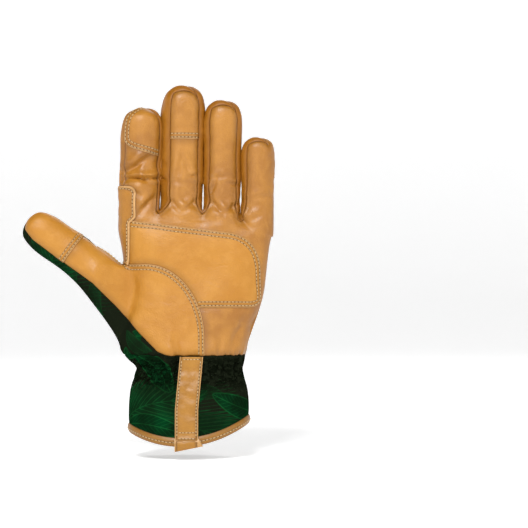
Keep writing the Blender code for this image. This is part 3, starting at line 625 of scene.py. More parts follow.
def finger_piece(zone, place):
    """Piece that a face of a finger belongs to."""
    if zone in WALLS:
        return WALLS[zone]
    if zone == "index left":
        return "crotch_saddle" if saddle_back(place) < 0 else "index_back_leather"
    if zone == "index front":
        if saddle_front(place) < 0:
            return "crotch_saddle"
        return "index_cap" if index_cap(place) < 0 else "palm_leather"
    if zone == "middle front":
        if middle_arch(place) > 0 and middle_cap(place) < 0:
            return "index_middle_wall"
        return "middle_cap" if middle_cap(place) < 0 else "palm_leather"
    if zone == "ring front" and ring_arch(place) > 0 and place.z > ROOT_HEIGHT + FINGERS[2]["width"]:
        return "middle_ring_wall"
    if zone == "little front" and little_arch(place) > 0 and place.z > ROOT_HEIGHT + FINGERS[3]["width"]:
        return "ring_little_wall"
    if zone == "index back":
        if saddle_back(place) < 0:
            return "crotch_saddle"
        if index_inset(place) < 0:
            return "index_back_inset"
        return "index_back_leather" if index_back(place) < 0 else "back_cloth"
    if zone == "little right" and place.y > 0:
        zone = "little back"
    if zone in BACK_CAPS:
        seam, cap = BACK_CAPS[zone]
        return cap if seam(place) < 0 else "back_cloth"
    return "palm_leather"


def piece_of(zone, place):
    """Piece that a face of the form belongs to, from its zone and its place."""
    if zone.startswith("cuff"):
        if hem_edge(place) < 0:
            return "hem_binding"
        return "cuff_cloth" if zone == "cuff front" else "back_cloth"
    if zone == "thumb front":
        if thumb_edge(place) < 0:
            return "thumb_cloth"
        return "thumb_cap" if thumb_cap(place) < 0 else "thumb_leather"
    if zone == "thumb back":
        return "crotch_saddle" if saddle_back(place) < 0 else "thumb_cloth"
    if zone == "palm front":
        if palm_edge(place) < 0:
            return "cuff_cloth"
        if saddle_front(place) < 0:
            return "crotch_saddle"
        if thumb_seam(place) < 0:
            return "thumb_leather" if thumb_edge(place) > 0 else "thumb_cloth"
        return "palm_leather"
    if zone == "palm back":
        if saddle_back(place) < 0:
            return "crotch_saddle"
        if back_seam(place) < 0:
            return "thumb_cloth" if palm_edge(place) > 0 else "back_cloth"
        on_index = place.x < finger_edges()[0][1]
        return "index_back_leather" if on_index and index_back(place) < 0 else "back_cloth"
    return finger_piece(zone, place)


def connected_patches(form, pieces):
    """Faces of each piece in groups that hang together, largest group first."""
    groups = {}
    seen = set()
    for start in form.faces:
        if start in seen:
            continue
        group = {start}
        waiting = [start]
        while waiting:
            face = waiting.pop()
            for edge in face.edges:
                for beside in edge.link_faces:
                    if beside not in group and pieces[beside] == pieces[start]:
                        group.add(beside)
                        waiting.append(beside)
        seen |= group
        groups.setdefault(pieces[start], []).append(group)
    for found in groups.values():
        found.sort(key=len, reverse=True)
    return groups


def settle_strays(form, pieces):
    """Give slivers that a seam cut off from their piece to the piece beside them."""
    for groups in connected_patches(form, pieces).values():
        for stray in groups[1:]:
            lengths = {}
            for face in stray:
                for edge in face.edges:
                    for beside in edge.link_faces:
                        if beside not in stray:
                            lengths[pieces[beside]] = lengths.get(pieces[beside], 0.0) + edge.calc_length()
            neighbour = max(lengths, key=lengths.get)
            for face in stray:
                pieces[face] = neighbour


MM = 0.001
FAR = 1.0
SHARP_EDGE = math.radians(50)
LEATHER = 0.0012
CLOTH = 0.0010
# The palm patch lies on the palm leather: its height, its padding and how far its underside is raised.
PATCH_RISE = 0.0011
PATCH_PUFF = 0.0005
PATCH_PUFF_REACH = 0.0080
PATCH_LIFT = 0.0003
# A lap stands up at its edge and fades into its piece, and the piece under it dips beside it.
LAP_RISE = 0.0008
LAP_FADE = 0.0080
LAP_EDGE = 0.0009
LAP_DIP = 0.00025
LAP_DIP_REACH = 0.0020
# A turned-in seam is a groove with a soft ridge beside it.
SEAM_DEPTH = 0.0007
SEAM_REACH = 0.0005
SEAM_PUFF = 0.0003
SEAM_PUFF_AWAY = 0.0045
SEAM_PUFF_WIDTH = 0.0030
# The side seam fades out where the little finger starts.
SIDE_SEAM_TOP = ROOT_HEIGHT - ROOT_DROPS[4]
SIDE_SEAM_FADE = 0.0150
# Piped lip along the seams of the finger sidewalls, from the crotches up to this height.
LIP_TOP = ROOT_HEIGHT + 0.0300
LIP_FADE = 0.0200
LIP_RISE = 0.0007
LIP_AWAY = 0.0013
LIP_WIDTH = 0.0009
# The fingers are filled out towards each other above their roots.
WALL_SWELL = 0.0005
SWELL_START = ROOT_HEIGHT + 0.0180
SWELL_FADE = 0.0100
SWELL_EDGE = 0.0020
# The binding rolls over the hem.
HEM_ROLL = 0.0011
HEM_ROLL_REACH = 0.0012
# How far in from a lapped edge its rows of stitches run.
FIRST_ROW = 0.0012
SECOND_ROW = 0.0037
DOUBLE_ROW = (FIRST_ROW, SECOND_ROW)

# How one piece lies over others, with its rows of stitches and how high it stands.
LAPS = (
    dict(top="thumb_leather", under="palm_leather palm_patch", rows=DOUBLE_ROW, rise=0.8),
    dict(top="thumb_cap", under="thumb_leather", rows=DOUBLE_ROW, rise=0.8),
    dict(top="index_cap", under="palm_leather index_back_leather", rows=DOUBLE_ROW, rise=0.8),
    dict(top="middle_cap", under="palm_leather", rows=DOUBLE_ROW, rise=0.8),
    dict(top="palm_patch", under="palm_leather", rows=DOUBLE_ROW, rise=0.0),
    dict(top="crotch_saddle", under="palm_leather palm_patch index_back_leather", rows=(0.0020,), rise=1.3),
    dict(top="crotch_saddle", under="thumb_leather thumb_cloth back_cloth", rows=(0.0020,), rise=0.9),
    dict(top="index_back_leather", under="back_cloth", rows=DOUBLE_ROW, rise=1.0),
    dict(top="index_back_leather", under="index_back_inset", rows=(0.0014,), rise=1.0),
    dict(top="middle_back_cap", under="back_cloth", rows=DOUBLE_ROW, rise=1.0),
    dict(top="ring_back_cap", under="back_cloth", rows=DOUBLE_ROW, rise=1.0),
    dict(top="little_back_cap", under="back_cloth", rows=DOUBLE_ROW, rise=1.0),
    dict(top="hem_binding", under="cuff_cloth back_cloth", rows=(0.0034,), rise=0.6),
)
CREASE_STRENGTH = 1.6
# The fold beside a crease: its height and width as shares of the furrow's, and how far off it is.
FOLD_HEIGHT = 0.65
FOLD_WIDTH = 1.4
FOLD_AWAY = 2.1
# Creases of the worn leather on the front, in mm and degrees: a furrow with a fold above it.
CREASE_NAMES = ("x", "z", "long", "wide", "turn", "depth")
CREASE_ROWS = (
    (-33.7, 131.0, 13.0, 1.5, 2, 2.1),
    (-35.0, 141.0, 10.0, 2.2, 30, 1.7),
    (-26.5, 127.5, 6.0, 1.4, -22, 0.6),
    (-29.0, 112.5, 8.0, 2.0, 48, 1.2),
    (-38.0, 121.5, 8.0, 1.8, -24, 0.9),
    (-1.0, 140.0, 8.0, 1.5, -68, 0.6),
    (-6.5, 138.0, 8.0, 1.6, 78, 0.6),
    (-16.6, 130.6, 3.0, 0.9, -39, 0.5),
    (10.0, 126.0, 3.4, 0.9, -52, 0.5),
    (3.0, 133.0, 5.0, 1.2, 18, 0.6),
    (-2.5, 128.0, 9.0, 1.5, -8, 0.5),
    (-9.0, 112.0, 8.0, 2.1, -38, 1.1),
    (2.5, 113.0, 7.0, 1.9, 42, 0.9),
    (17.5, 126.4, 7.0, 1.3, 72, 0.7),
    (29.5, 127.5, 6.0, 1.3, -14, 0.6),
    (22.0, 132.0, 8.0, 1.4, 6, 0.5),
    (19.5, 111.5, 8.0, 2.1, -42, 1.0),
    (30.5, 110.5, 7.0, 1.9, 38, 0.9),
    (38.0, 102.5, 7.0, 1.8, -52, 0.8),
    (50.5, 118.0, 8.0, 1.6, 8, 0.5),
    (47.5, 104.0, 7.0, 2.0, 35, 0.6),
    (-33.0, 63.0, 9.0, 2.4, -42, 0.18),
    (-37.5, 58.5, 8.0, 2.4, -58, 0.15),
    (-27.0, 61.0, 8.0, 2.2, -24, 0.12),
    (-52.0, 66.5, 9.0, 2.6, 48, 0.12),
    (35.0, 24.0, 12.0, 2.4, 64, 0.6),
    (22.0, 12.0, 9.0, 2.2, 80, 0.6),
    (-8.0, 14.0, 9.0, 2.2, 96, 0.6),
    (6.0, 103.0, 14.0, 2.2, -4, 0.5),
)
CREASES = [dict(zip(CREASE_NAMES, row)) for row in CREASE_ROWS]
# Height of the small folds on the fingers and on the rest of the glove.
FINGER_WRINKLE = 0.00080
PALM_WRINKLE = 0.00009
# Gathers at the elastic waist: waves round the wrist and an uneven ruffle, with heights in mm.
GATHER_WAVES = 20
FINE_WAVES = 41
GATHER_HEIGHT = 0.95
GATHER_LIMIT = 0.0350
GATHER_ABOVE = 0.0110
GATHER_BELOW = 0.0160
GATHER_PALM_FADE = 0.0040
RUFFLE_HEIGHT = 2.2
RUFFLE_MIDDLE = -0.0040
RUFFLE_REACH = 0.0085
# Where on the printed cloth each piece was cut, in metres, and how far it was turned.
CLOTH_CUTS = dict(
    back_cloth=(0.000, 0.000, 0.0),
    cuff_cloth=(0.350, 0.100, 0.5),
    thumb_cloth=(0.520, 0.030, -0.7),
    index_back_inset=(0.710, 0.220, 0.9),
)

STRAP_LIES_ON = ("cuff_cloth", "hem_binding", "back_cloth", "palm_leather", "thumb_leather", "thumb_cloth")
STRAP_WIDTH = 0.0160
STRAP_THICKNESS = 0.0015
STRAP_TOP_X = 0.0026
STRAP_BOTTOM_X = -0.0007
STRAP_TOP = PALM_EDGE_HEIGHT - 0.0003
STRAP_END = -0.0508
# The strap slants only at the top: it is across at its lower place after 1/1.6 of its length.
STRAP_DRIFT = 1.6
STRAP_GAP = 0.0002
STRAP_RISE = 0.0003
STRAP_SLACK = 0.00090
STRAP_CRINKLE = 0.00035
# The edges get thinner from this share of the half width, and the end from this share of the length.
STRAP_EDGE = 0.80
STRAP_TAPER = 0.97
# Folded end below the strap: its left and right corners, and its thickness.
TAIL_TOP = (Vector((-0.0090, 0.0, STRAP_END + 0.0020)), Vector((0.0076, 0.0, STRAP_END + 0.0020)))
TAIL_LOW = (Vector((-0.0089, 0.0, -0.0580)), Vector((0.0107, 0.0, -0.0541)))
TAIL_THICKNESS = 0.0013
TAIL_CURL = 0.0012
TAIL_CRINKLE = 0.0006
TAIL_SINK = 0.0004
# Stitches of the strap, in from its edge, with shares of its length for the top, the box and the end.
STRAP_ROW = 0.0014
STRAP_ROWS_AT = dict(top=0.03, box=0.895, end=0.965)
STRAP_PITCH = 0.0023
STRAP_STITCH = 0.0017
# Zigzag stitches across the back of the wrist: the rows' heights, and the size of a zag.
ZIGZAG_ROWS = (0.0005, -0.0100)
ZIGZAG_RISE = 0.0016
ZIGZAG_STEP = 0.0018
ZIGZAG_SHIFT = 0.001

# Looks of the leathers: the main colour, a deeper and a paler one, and the gloss.
LEATHERS = (
    dict(name="golden_leather", gloss=0.5,
         colour=(0.395, 0.166, 0.016), deep=(0.300, 0.115, 0.008), pale=(0.445, 0.198, 0.027)),
    dict(name="patch_leather", gloss=0.3,
         colour=(0.450, 0.199, 0.025), deep=(0.400, 0.166, 0.018), pale=(0.495, 0.232, 0.038)),
    # Darker copy of the golden leather for the strap and the binding; on the hem binding it is painted shade
    # of its tilt.
    dict(name="trim_leather_shaded", gloss=0.5,
         colour=(0.360, 0.158, 0.009), deep=(0.300, 0.124, 0.005), pale=(0.410, 0.187, 0.018)),
    # Darker copy of the golden leather for the finger sidewalls: painted shade of sides turned away from the
    # light.
    dict(name="side_leather", gloss=0.25,
         colour=(0.345, 0.134, 0.010), deep=(0.285, 0.100, 0.006), pale=(0.410, 0.170, 0.018)),
)
# Colour of the line along turned seams: partly the joint's own dark, partly painted shade at the bottom of
# the groove.
SEAM_LINE_AND_SHADE = (0.110, 0.034, 0.003)
RAW_EDGE = (0.50, 0.28, 0.10)
# Painted shade in the grooves that the rows of stitches press in.
STITCH_GROOVE_SHADE = (0.090, 0.030, 0.008)
BEIGE = (0.56, 0.40, 0.20)
# Painted shade of the needle holes, given to dark studs beside the stitches.
HOLE_SHADE_BROWN = (0.110, 0.040, 0.010)
ELASTIC_GREEN = (0.010, 0.018, 0.009)
# The print, each as a darker and a lighter colour.
PRINT_GROUNDS = ((0.0056, 0.0078, 0.0040), (0.0090, 0.0118, 0.0062))
LEAF_FILLS = ((0.0022, 0.0120, 0.0040), (0.0012, 0.0310, 0.0085))
LEAF_LINES = ((0.0040, 0.0260, 0.0070), (0.0060, 0.0720, 0.0180))
PUCKER_SHADE = (0.0020, 0.0032, 0.0014)

# The camera looks along Y from the front, and the picture is this wide at the glove.
CAMERA_PLACE = (0.0527, -1.6, 0.0716)
PICTURE_WIDTH = 0.3707
SENSOR_MM = 36.0
WORLD_LIGHT = 0.03
LIGHT_AIM = Vector((0.0, 0.0, 0.06))
LIGHTS = (
    dict(name="key", place=(-0.25, -1.35, 1.15), size=0.45, power=28.0),
    dict(name="side", place=(0.95, -0.90, 0.75), size=0.4, power=3.0),
    dict(name="back", place=(0.3, 1.2, 1.2), size=0.9, power=8.5),
)
BACKDROP_GLOW = 0.47
FLOOR = -0.0640
FLOOR_REACH = 2.0
FLOOR_BEND = 0.8
WALL_HEIGHT = 0.4

# Contours are looked for only in faces that start this near to them.
CONTOUR_REACH = 0.0030
# Thread and how it is sewn.
STITCH_PITCH = 0.0026
STITCH_LENGTH = 0.0020
THREAD_RADIUS = 0.00031
HOLE_RADIUS = 0.00045
HOLE_RISE = 0.00008


def press_form(form):
    """Move the smooth form's points into the dents, creases and gathers of the worn glove."""
    moves = []
    for vertex in form.verts:
        place = vertex.co
        depth = 0.0
        if vertex.normal.y < FACING_FRONT:
            depth = sum(dent_depth(dent, place) for dent in DENTS)
            depth += sum(crease_depth(crease, place) for crease in CREASES)
        rise = -depth + wrinkles(place) + gathers(place)
        moves.append(rise * vertex.normal)
    for vertex, move in zip(form.verts, moves):
        vertex.co += move
    form.normal_update()


def crease_depth(crease, place):
    """How far a crease presses in at a place on the front, less the fold that stands up beside it."""
    dx = place.x / MM - crease["x"]
    dz = place.z / MM - crease["z"]
    if abs(dx) + abs(dz) > 3 * crease["long"]:
        return 0.0
    turn = math.radians(crease["turn"])
    along = dx * math.cos(turn) + dz * math.sin(turn)
    across = (dz * math.cos(turn) - dx * math.sin(turn)) / crease["wide"]
    across += 0.5 * noise_at(along / 6, crease["x"], 0.0)
    shape = math.exp(-across ** 2) - FOLD_HEIGHT * math.exp(-((across - FOLD_AWAY) / FOLD_WIDTH) ** 2)
    return CREASE_STRENGTH * crease["depth"] * MM * shape * math.exp(-(along / crease["long"]) ** 2)


def noise_at(x, y, z):
    return noise.noise(Vector((x, y, z)))


def wrinkles(place):
    """Small folds of the soft leather, finer across the fingers than along them."""
    if place.z > ROOT_HEIGHT:
        fold = noise_at(place.x * 70, place.y * 70, place.z * 190)
        patch = noise_at(place.x * 40, 3.0, place.z * 30)
        return FINGER_WRINKLE * fold * max(0.25 + patch, 0.0)
    return PALM_WRINKLE * noise_at(place.x * 75, place.y * 75 + 9.0, place.z * 75)


def gathers(place):
    """Puckers that the elastic draws into the wrist, fading out above and below it."""
    if abs(place.z) > GATHER_LIMIT:
        return 0.0
    turn = math.atan2(place.y / WRIST_DEPTH, place.x / WRIST_WIDTH)
    drift = 1.6 * noise_at(turn * 2.0, place.z * 60, 1.0)
    reach = math.exp(-(place.z / (GATHER_ABOVE if place.z > 0 else GATHER_BELOW)) ** 2)
    wave = math.cos(GATHER_WAVES * turn + drift) + 0.55 * math.cos(FINE_WAVES * turn - 2 * drift)
    if place.y < 0:
        palm_share = min(max((place.z - PALM_EDGE_HEIGHT) / GATHER_PALM_FADE, 0.0), 1.0)
        wave *= 1.0 - 0.6 * palm_share
    ruffle = noise_at(turn * 16, place.z * 110, 5.0)
    ruffle *= math.exp(-((place.z - RUFFLE_MIDDLE) / RUFFLE_REACH) ** 2)
    return MM * (GATHER_HEIGHT * reach * wave + RUFFLE_HEIGHT * ruffle)


def label_faces(form, zones):
    """Name the piece that each face of the form belongs to."""
    labels = {}
    for face in form.faces:
        labels[face] = piece_of(zones[face.material_index], face.calc_center_median())
    settle_strays(form, labels)
    for face in form.faces:
        if labels[face] == "palm_leather" and palm_patch(face.calc_center_median()) < 0:
            labels[face] = "palm_patch"
    return labels


def find_borders(form, labels):
    """Points along the line between each two pieces that meet, in a search tree for each pair."""
    points = {}
    for edge in form.edges:
        pair = tuple(sorted({labels[face] for face in edge.link_faces}))
        if len(edge.link_faces) == 1:
            pair += ("open",)
        if len(pair) < 2:
            continue
        start, end = edge.verts
        found = points.setdefault(pair, [])
        for step in range(4):
            found.append(start.co.lerp(end.co, step / 3))
    borders = {}
    for pair, found in points.items():
        tree = KDTree(len(found))
        for number, place in enumerate(found):
            tree.insert(place, number)
        tree.balance()
        borders[pair] = tree
    return borders


class Panel:
    """One sewn piece: its share of the form, with the distance of each point from each seam."""

    def __init__(self, name, form, labels, borders):
        self.name = name
        labelled = (name, "palm_patch") if name == "palm_leather" else (name,)
        index = {}
        self.faces = []
        for face in form.faces:
            if labels[face] not in labelled:
                continue
            corners = []
            for vertex in face.verts:
                if vertex not in index:
                    index[vertex] = len(index)
                corners.append(index[vertex])
            self.faces.append(corners)
        self.base = np.array([vertex.co for vertex in index])
        self.normals = np.array([vertex.normal for vertex in index])
        self.near = {}
        for pair, tree in borders.items():
            if name in pair:
                self.near[pair] = np.array([tree.find(vertex.co)[2] for vertex in index])
        self.outer = self.base + self.relief()[:, None] * self.normals

    def lap_with(self, pair):
        """The way this piece and its neighbour are sewn, or None where the seam is turned in."""
        for lap in LAPS:
            if lap["top"] in pair and any(name in pair for name in lap["under"].split()):
                return lap
        return None

    def lap_distance(self, lap):
        """Distance of each point from the edge that one lap lays over its neighbours."""
        away = np.full(len(self.base), FAR)
        for pair, found in self.near.items():
            if self.lap_with(pair) is lap:
                away = np.minimum(away, found)
        return away

    def relief(self):
        """Height of each point over the form: raised laps, sunk seams and the swell between them."""
        height = np.zeros(len(self.base))
        for lap in LAPS:
            if lap["top"] == self.name:
                away = self.lap_distance(lap)
                lip = 0.5 + 0.5 * np.minimum(away / LAP_EDGE, 1.0)
                height += LAP_RISE * lap["rise"] * lip * np.exp(-(away / LAP_FADE) ** 2)
        for pair, away in self.near.items():
            lap = self.lap_with(pair)
            if lap and lap["top"] == self.name:
                continue
            if lap:
                height -= LAP_DIP * np.exp(-(away / LAP_DIP_REACH) ** 2)
            elif "open" not in pair:
                depth = SEAM_DEPTH
                if pair == ("back_cloth", "palm_leather"):
                    depth *= np.clip((SIDE_SEAM_TOP - self.base[:, 2]) / SIDE_SEAM_FADE, 0.1, 1.0)
                height -= depth * np.exp(-away / SEAM_REACH)
                height += SEAM_PUFF * np.exp(-((away - SEAM_PUFF_AWAY) / SEAM_PUFF_WIDTH) ** 2)
                if any("wall" in name for name in pair):
                    low = np.clip((LIP_TOP - self.base[:, 2]) / LIP_FADE, 0.0, 1.0)
                    height += LIP_RISE * low * np.exp(-((away - LIP_AWAY) / LIP_WIDTH) ** 2)
        if self.name.endswith("_wall"):
            above = np.clip((self.base[:, 2] - SWELL_START) / SWELL_FADE, 0.0, 1.0)
            height += WALL_SWELL * above * (1.0 - np.exp(-(self.edge_distance() / SWELL_EDGE) ** 2))
        if self.name == "palm_patch":
            edge = self.edge_distance()
            lip = 0.5 + 0.5 * np.minimum(edge / LAP_EDGE, 1.0)
            height = PATCH_RISE * lip + PATCH_PUFF * (1.0 - np.exp(-(edge / PATCH_PUFF_REACH) ** 2))
        if self.name == "hem_binding":
            height = HEM_ROLL * (1.0 - np.exp(-self.edge_distance() / HEM_ROLL_REACH))
        return height

    def edge_distance(self):
        """Distance of each point from the piece's own edge."""
        away = np.full(len(self.base), FAR)
        for pair, found in self.near.items():
            if "palm_patch" in pair and self.name == "palm_leather":
                continue
            away = np.minimum(away, found)
        return away

    def row_distance(self):
        """Distance to the edge that this piece is sewn down along, for the stitched groove."""
        away = np.full(len(self.base), FAR)
        for lap in LAPS:
            if lap["top"] != self.name:
                continue
            found = self.lap_distance(lap)
            if len(lap["rows"]) == 1:
                # The binding is folded, so that it shows no pale raw edge.
                least = 0.7 * FIRST_ROW if self.name == "hem_binding" else 0.0
                found = np.clip(found - lap["rows"][0] + FIRST_ROW, least, 2 * FIRST_ROW)
            away = np.minimum(away, found)
        return away

    def laid_flat(self):
        """Where each point lies on the printed cloth that the piece was cut from."""
        across, up, turn = CLOTH_CUTS[self.name]
        x = self.base[:, 0]
        spread = x - 0.8 * np.abs(self.base[:, 1]) * np.clip((x - PALM_SHIFT) / (PALM_WIDTH / 2), -1.2, 1.2)
        height = self.base[:, 2]
        cos, sin = math.cos(turn), math.sin(turn)
        flat = np.zeros((len(x), 3))
        flat[:, 0] = spread * cos - height * sin + across
        flat[:, 1] = spread * sin + height * cos + up
        return flat

    def mesh(self, wall, lift=0.0):
        """Closed wall from the relief down to its inner side."""
        count = len(self.base)
        inner = self.base + (lift - wall) * self.normals
        places = np.concatenate((self.outer, inner))
        faces = list(self.faces)
        rim = {}
        for corners in self.faces:
            for start, end in zip(corners, corners[1:] + corners[:1]):
                if (end, start) in rim:
                    del rim[end, start]
                else:
                    rim[start, end] = True
            faces.append([corner + count for corner in reversed(corners)])
        for start, end in rim:
            faces.append([start + count, end + count, end, start])
        mesh = new_mesh(self.name, places.tolist(), faces)
        add_values(mesh, "edge", np.tile(self.edge_distance(), 2))
        add_values(mesh, "row", np.tile(self.row_distance(), 2))
        if self.name in CLOTH_CUTS:
            add_values(mesh, "print", np.tile(self.laid_flat(), (2, 1)), "FLOAT_VECTOR")
        mesh.set_sharp_from_angle(angle=SHARP_EDGE)
        return mesh

    def contours(self, away, offset):
        """Lines on the outer side at one distance from a seam, as runs of place and normal."""
        links = {}
        points = {}
        for corners in self.faces:
            if abs(away[corners[0]] - offset) > CONTOUR_REACH:
                continue
            crossed = []
            for start, end in zip(corners, corners[1:] + corners[:1]):
                a, b = away[start] - offset, away[end] - offset
                if (a < 0) != (b < 0):
                    key = (min(start, end), max(start, end))
                    if key not in points:
                        share = a / (a - b)
                        place = self.outer[start] + (self.outer[end] - self.outer[start]) * share
                        normal = self.normals[start] + (self.normals[end] - self.normals[start]) * share
                        points[key] = (Vector(place), Vector(normal).normalized())
                    crossed.append(key)
            if len(crossed) == 2:
                links.setdefault(crossed[0], []).append(crossed[1])
                links.setdefault(crossed[1], []).append(crossed[0])
        runs = []
        unused = set(links)
        ends = [key for key in links if len(links[key]) == 1]
        for start in ends + list(links):
            if start not in unused:
                continue
            run = [start]
            unused.discard(start)
            while True:
                onward = [key for key in links[run[-1]] if key in unused]
                if not onward:
                    break
                unused.discard(onward[0])
                run.append(onward[0])
            runs.append([points[key] for key in run])
        return runs


def along_run(run, pitch):
    """Places and normals at even steps along a run of points."""
    steps = []
    travelled = 0.0
    due = pitch / 2
    for (start, start_normal), (end, end_normal) in zip(run, run[1:]):
        length = (end - start).length
        while length > 0 and due <= travelled + length:
            share = (due - travelled) / length
            steps.append((start.lerp(end, share), start_normal.lerp(end_normal, share).normalized()))
            due += pitch
        travelled += length
    return steps


class Thread:
    """Mesh of many stitches: short lengths of thread that rise from their needle holes."""

    SIDES = 6
    # Share of the stitch's length, share of the thread's radius, and height in radii.
    ALONG = ((0.0, 0.55, -0.9), (0.18, 1.0, 0.25), (0.5, 1.0, 0.6), (0.82, 1.0, 0.25), (1.0, 0.55, -0.9))

    def __init__(self, holes=None):
        self.places = []
        self.faces = []
        self.holes = holes

    def stitch(self, start, end, normal):
        across = (end - start).cross(normal).normalized()
        base = len(self.places)
        for share, thickness, height in self.ALONG:
            centre = start.lerp(end, share) + normal * height * THREAD_RADIUS
            for side in range(self.SIDES):
                turn = 2 * math.pi * side / self.SIDES
                spread = across * math.cos(turn) + normal * math.sin(turn)
                self.places.append(centre + spread * thickness * THREAD_RADIUS)
        for ring in range(len(self.ALONG) - 1):
            for side in range(self.SIDES):
                low = base + ring * self.SIDES
                nxt = (side + 1) % self.SIDES
                self.faces.append((low + side, low + nxt, low + self.SIDES + nxt, low + self.SIDES + side))
        self.faces.append([base + side for side in reversed(range(self.SIDES))])
        last = base + (len(self.ALONG) - 1) * self.SIDES
        self.faces.append([last + side for side in range(self.SIDES)])

    def sew(self, run, pitch=STITCH_PITCH, length=STITCH_LENGTH):
        """Stitches along a run, with a hole after each and none where the run jumps or turns back."""
        steps = along_run(run, pitch)
        for (start, normal), (end, _) in zip(steps, steps[1:]):
            gap = (end - start).length
            if gap > 1.5 * pitch or gap < 0.3 * pitch:
                continue
            self.stitch(start, start.lerp(end, length / pitch), normal)
            if self.holes:
                self.holes.add(start.lerp(end, (1.0 + length / pitch) / 2), normal)

    def build(self, name, finish):
        add_object(name, new_mesh(name, self.places, self.faces), finish)


class Holes:
    """Mesh of the needle holes between stitches as dark low six-sided studs, painted shade of the holes."""

    SIDES = 6

    def __init__(self):
        self.places = []
        self.faces = []

    def add(self, spot, normal):
        base = len(self.places)
        along = normal.orthogonal().normalized()
        across = normal.cross(along)
        self.places.append(spot + normal * HOLE_RISE)
        self.places.append(spot - normal * 4 * HOLE_RISE)
        for side in range(self.SIDES):
            turn = 2 * math.pi * side / self.SIDES
            self.places.append(spot + (along * math.cos(turn) + across * math.sin(turn)) * HOLE_RADIUS)
        for side in range(self.SIDES):
            here = base + 2 + side
            there = base + 2 + (side + 1) % self.SIDES
            self.faces.append((base, here, there))
            self.faces.append((base + 1, there, here))

    def build(self, name, finish):
        add_object(name, new_mesh(name, self.places, self.faces, smooth=False), finish)


def add_object(name, mesh, finish):
    item = bpy.data.objects.new(name, mesh)
    mesh.materials.append(finish)
    bpy.context.scene.collection.objects.link(item)
    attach(item, "root")
    return item


class Nodes:
    """A material's node tree, with short calls for the nodes that the finishes here use."""

    def __init__(self, name):
        self.material = bpy.data.materials.new(name)
        self.material.use_nodes = True
        self.tree = self.material.node_tree
        self.shader = self.tree.nodes["Principled BSDF"]
        self.place = Number(self, self.tree.nodes.new("ShaderNodeTexCoord").outputs["Object"])

    def feed(self, port, value):
        if isinstance(value, Number):
            self.tree.links.new(value.socket, port)
        else:
            port.default_value = value

    def node(self, kind, values=(), **settings):
        """A new node with its settings, and values or links for its inputs by name or number."""
        node = self.tree.nodes.new("ShaderNode" + kind)
        for setting, value in settings.items():
            setattr(node, setting, value)
        for port, value in dict(values).items():
            self.feed(node.inputs[port], value)
        return node

    def attribute(self, name, output="Fac"):
        return Number(self, self.node("Attribute", attribute_name=name).outputs[output])

    def vector(self, value, operation, *others):
        node = self.node("VectorMath", enumerate((value, *others)), operation=operation)
        return Number(self, node.outputs[0])

    def split(self, value, part):
        return Number(self, self.node("SeparateXYZ", {0: value}).outputs[part])

    def stretched(self, up):
        """The place with its height scaled, for patterns that are longer or shorter than wide."""
        return self.vector(self.place, "MULTIPLY", (1.0, 1.0, up))

    def noise(self, size, detail=2.0, roughness=0.5, place=None, distortion=0.0):
        values = {"Vector": place or self.place, "Scale": 1.0 / size, "Detail": detail,
                  "Roughness": roughness, "Distortion": distortion}
        return Number(self, self.node("TexNoise", values).outputs["Fac"])

    def cells(self, size, feature="F1", place=None, randomness=1.0):
        values = {"Vector": place or self.place, "Scale": 1.0 / size, "Randomness": randomness}
        return self.node("TexVoronoi", values, feature=feature)

    def ramp(self, value, low, high):
        """0 below low, 1 above high and smooth between."""
        values = {"Value": value, "From Min": low, "From Max": high}
        node = self.node("MapRange", values, interpolation_type="SMOOTHSTEP")
        return Number(self, node.outputs["Result"])

    def fading(self, value, low, high):
        """1 below low, 0 above high and smooth between."""
        return self.ramp(value, low, high) * -1.0 + 1.0

    def blend(self, share, first, second):
        colours = [value if isinstance(value, Number) else (*value, 1.0) for value in (first, second)]
        values = {"Factor": share, 6: colours[0], 7: colours[1]}
        return Number(self, self.node("Mix", values, data_type="RGBA").outputs[2])

    def bump(self, height, distance):
        node = self.node("Bump", {"Distance": distance, "Height": height})
        self.tree.links.new(node.outputs["Normal"], self.shader.inputs["Normal"])

    def set(self, values):
        """Values or links for the shader's own sockets, by their names."""
        for port, value in values.items():
            self.feed(self.shader.inputs[port], value)


class Number:
    """A value in a node tree, with Python's arithmetic."""

    def __init__(self, nodes, socket):
        self.nodes = nodes
        self.socket = socket

    def maths(self, operation, *others):
        node = self.nodes.node("Math", enumerate((self, *others)), operation=operation)
        return Number(self.nodes, node.outputs[0])

    def __add__(self, other):
        return self.maths("ADD", other)

    def __sub__(self, other):
        return self.maths("SUBTRACT", other)

    def __mul__(self, other):
        return self.maths("MULTIPLY", other)

    def __truediv__(self, other):
        return self.maths("DIVIDE", other)

    def __abs__(self):
        return self.maths("ABSOLUTE")

    __radd__ = __add__
    __rmul__ = __mul__


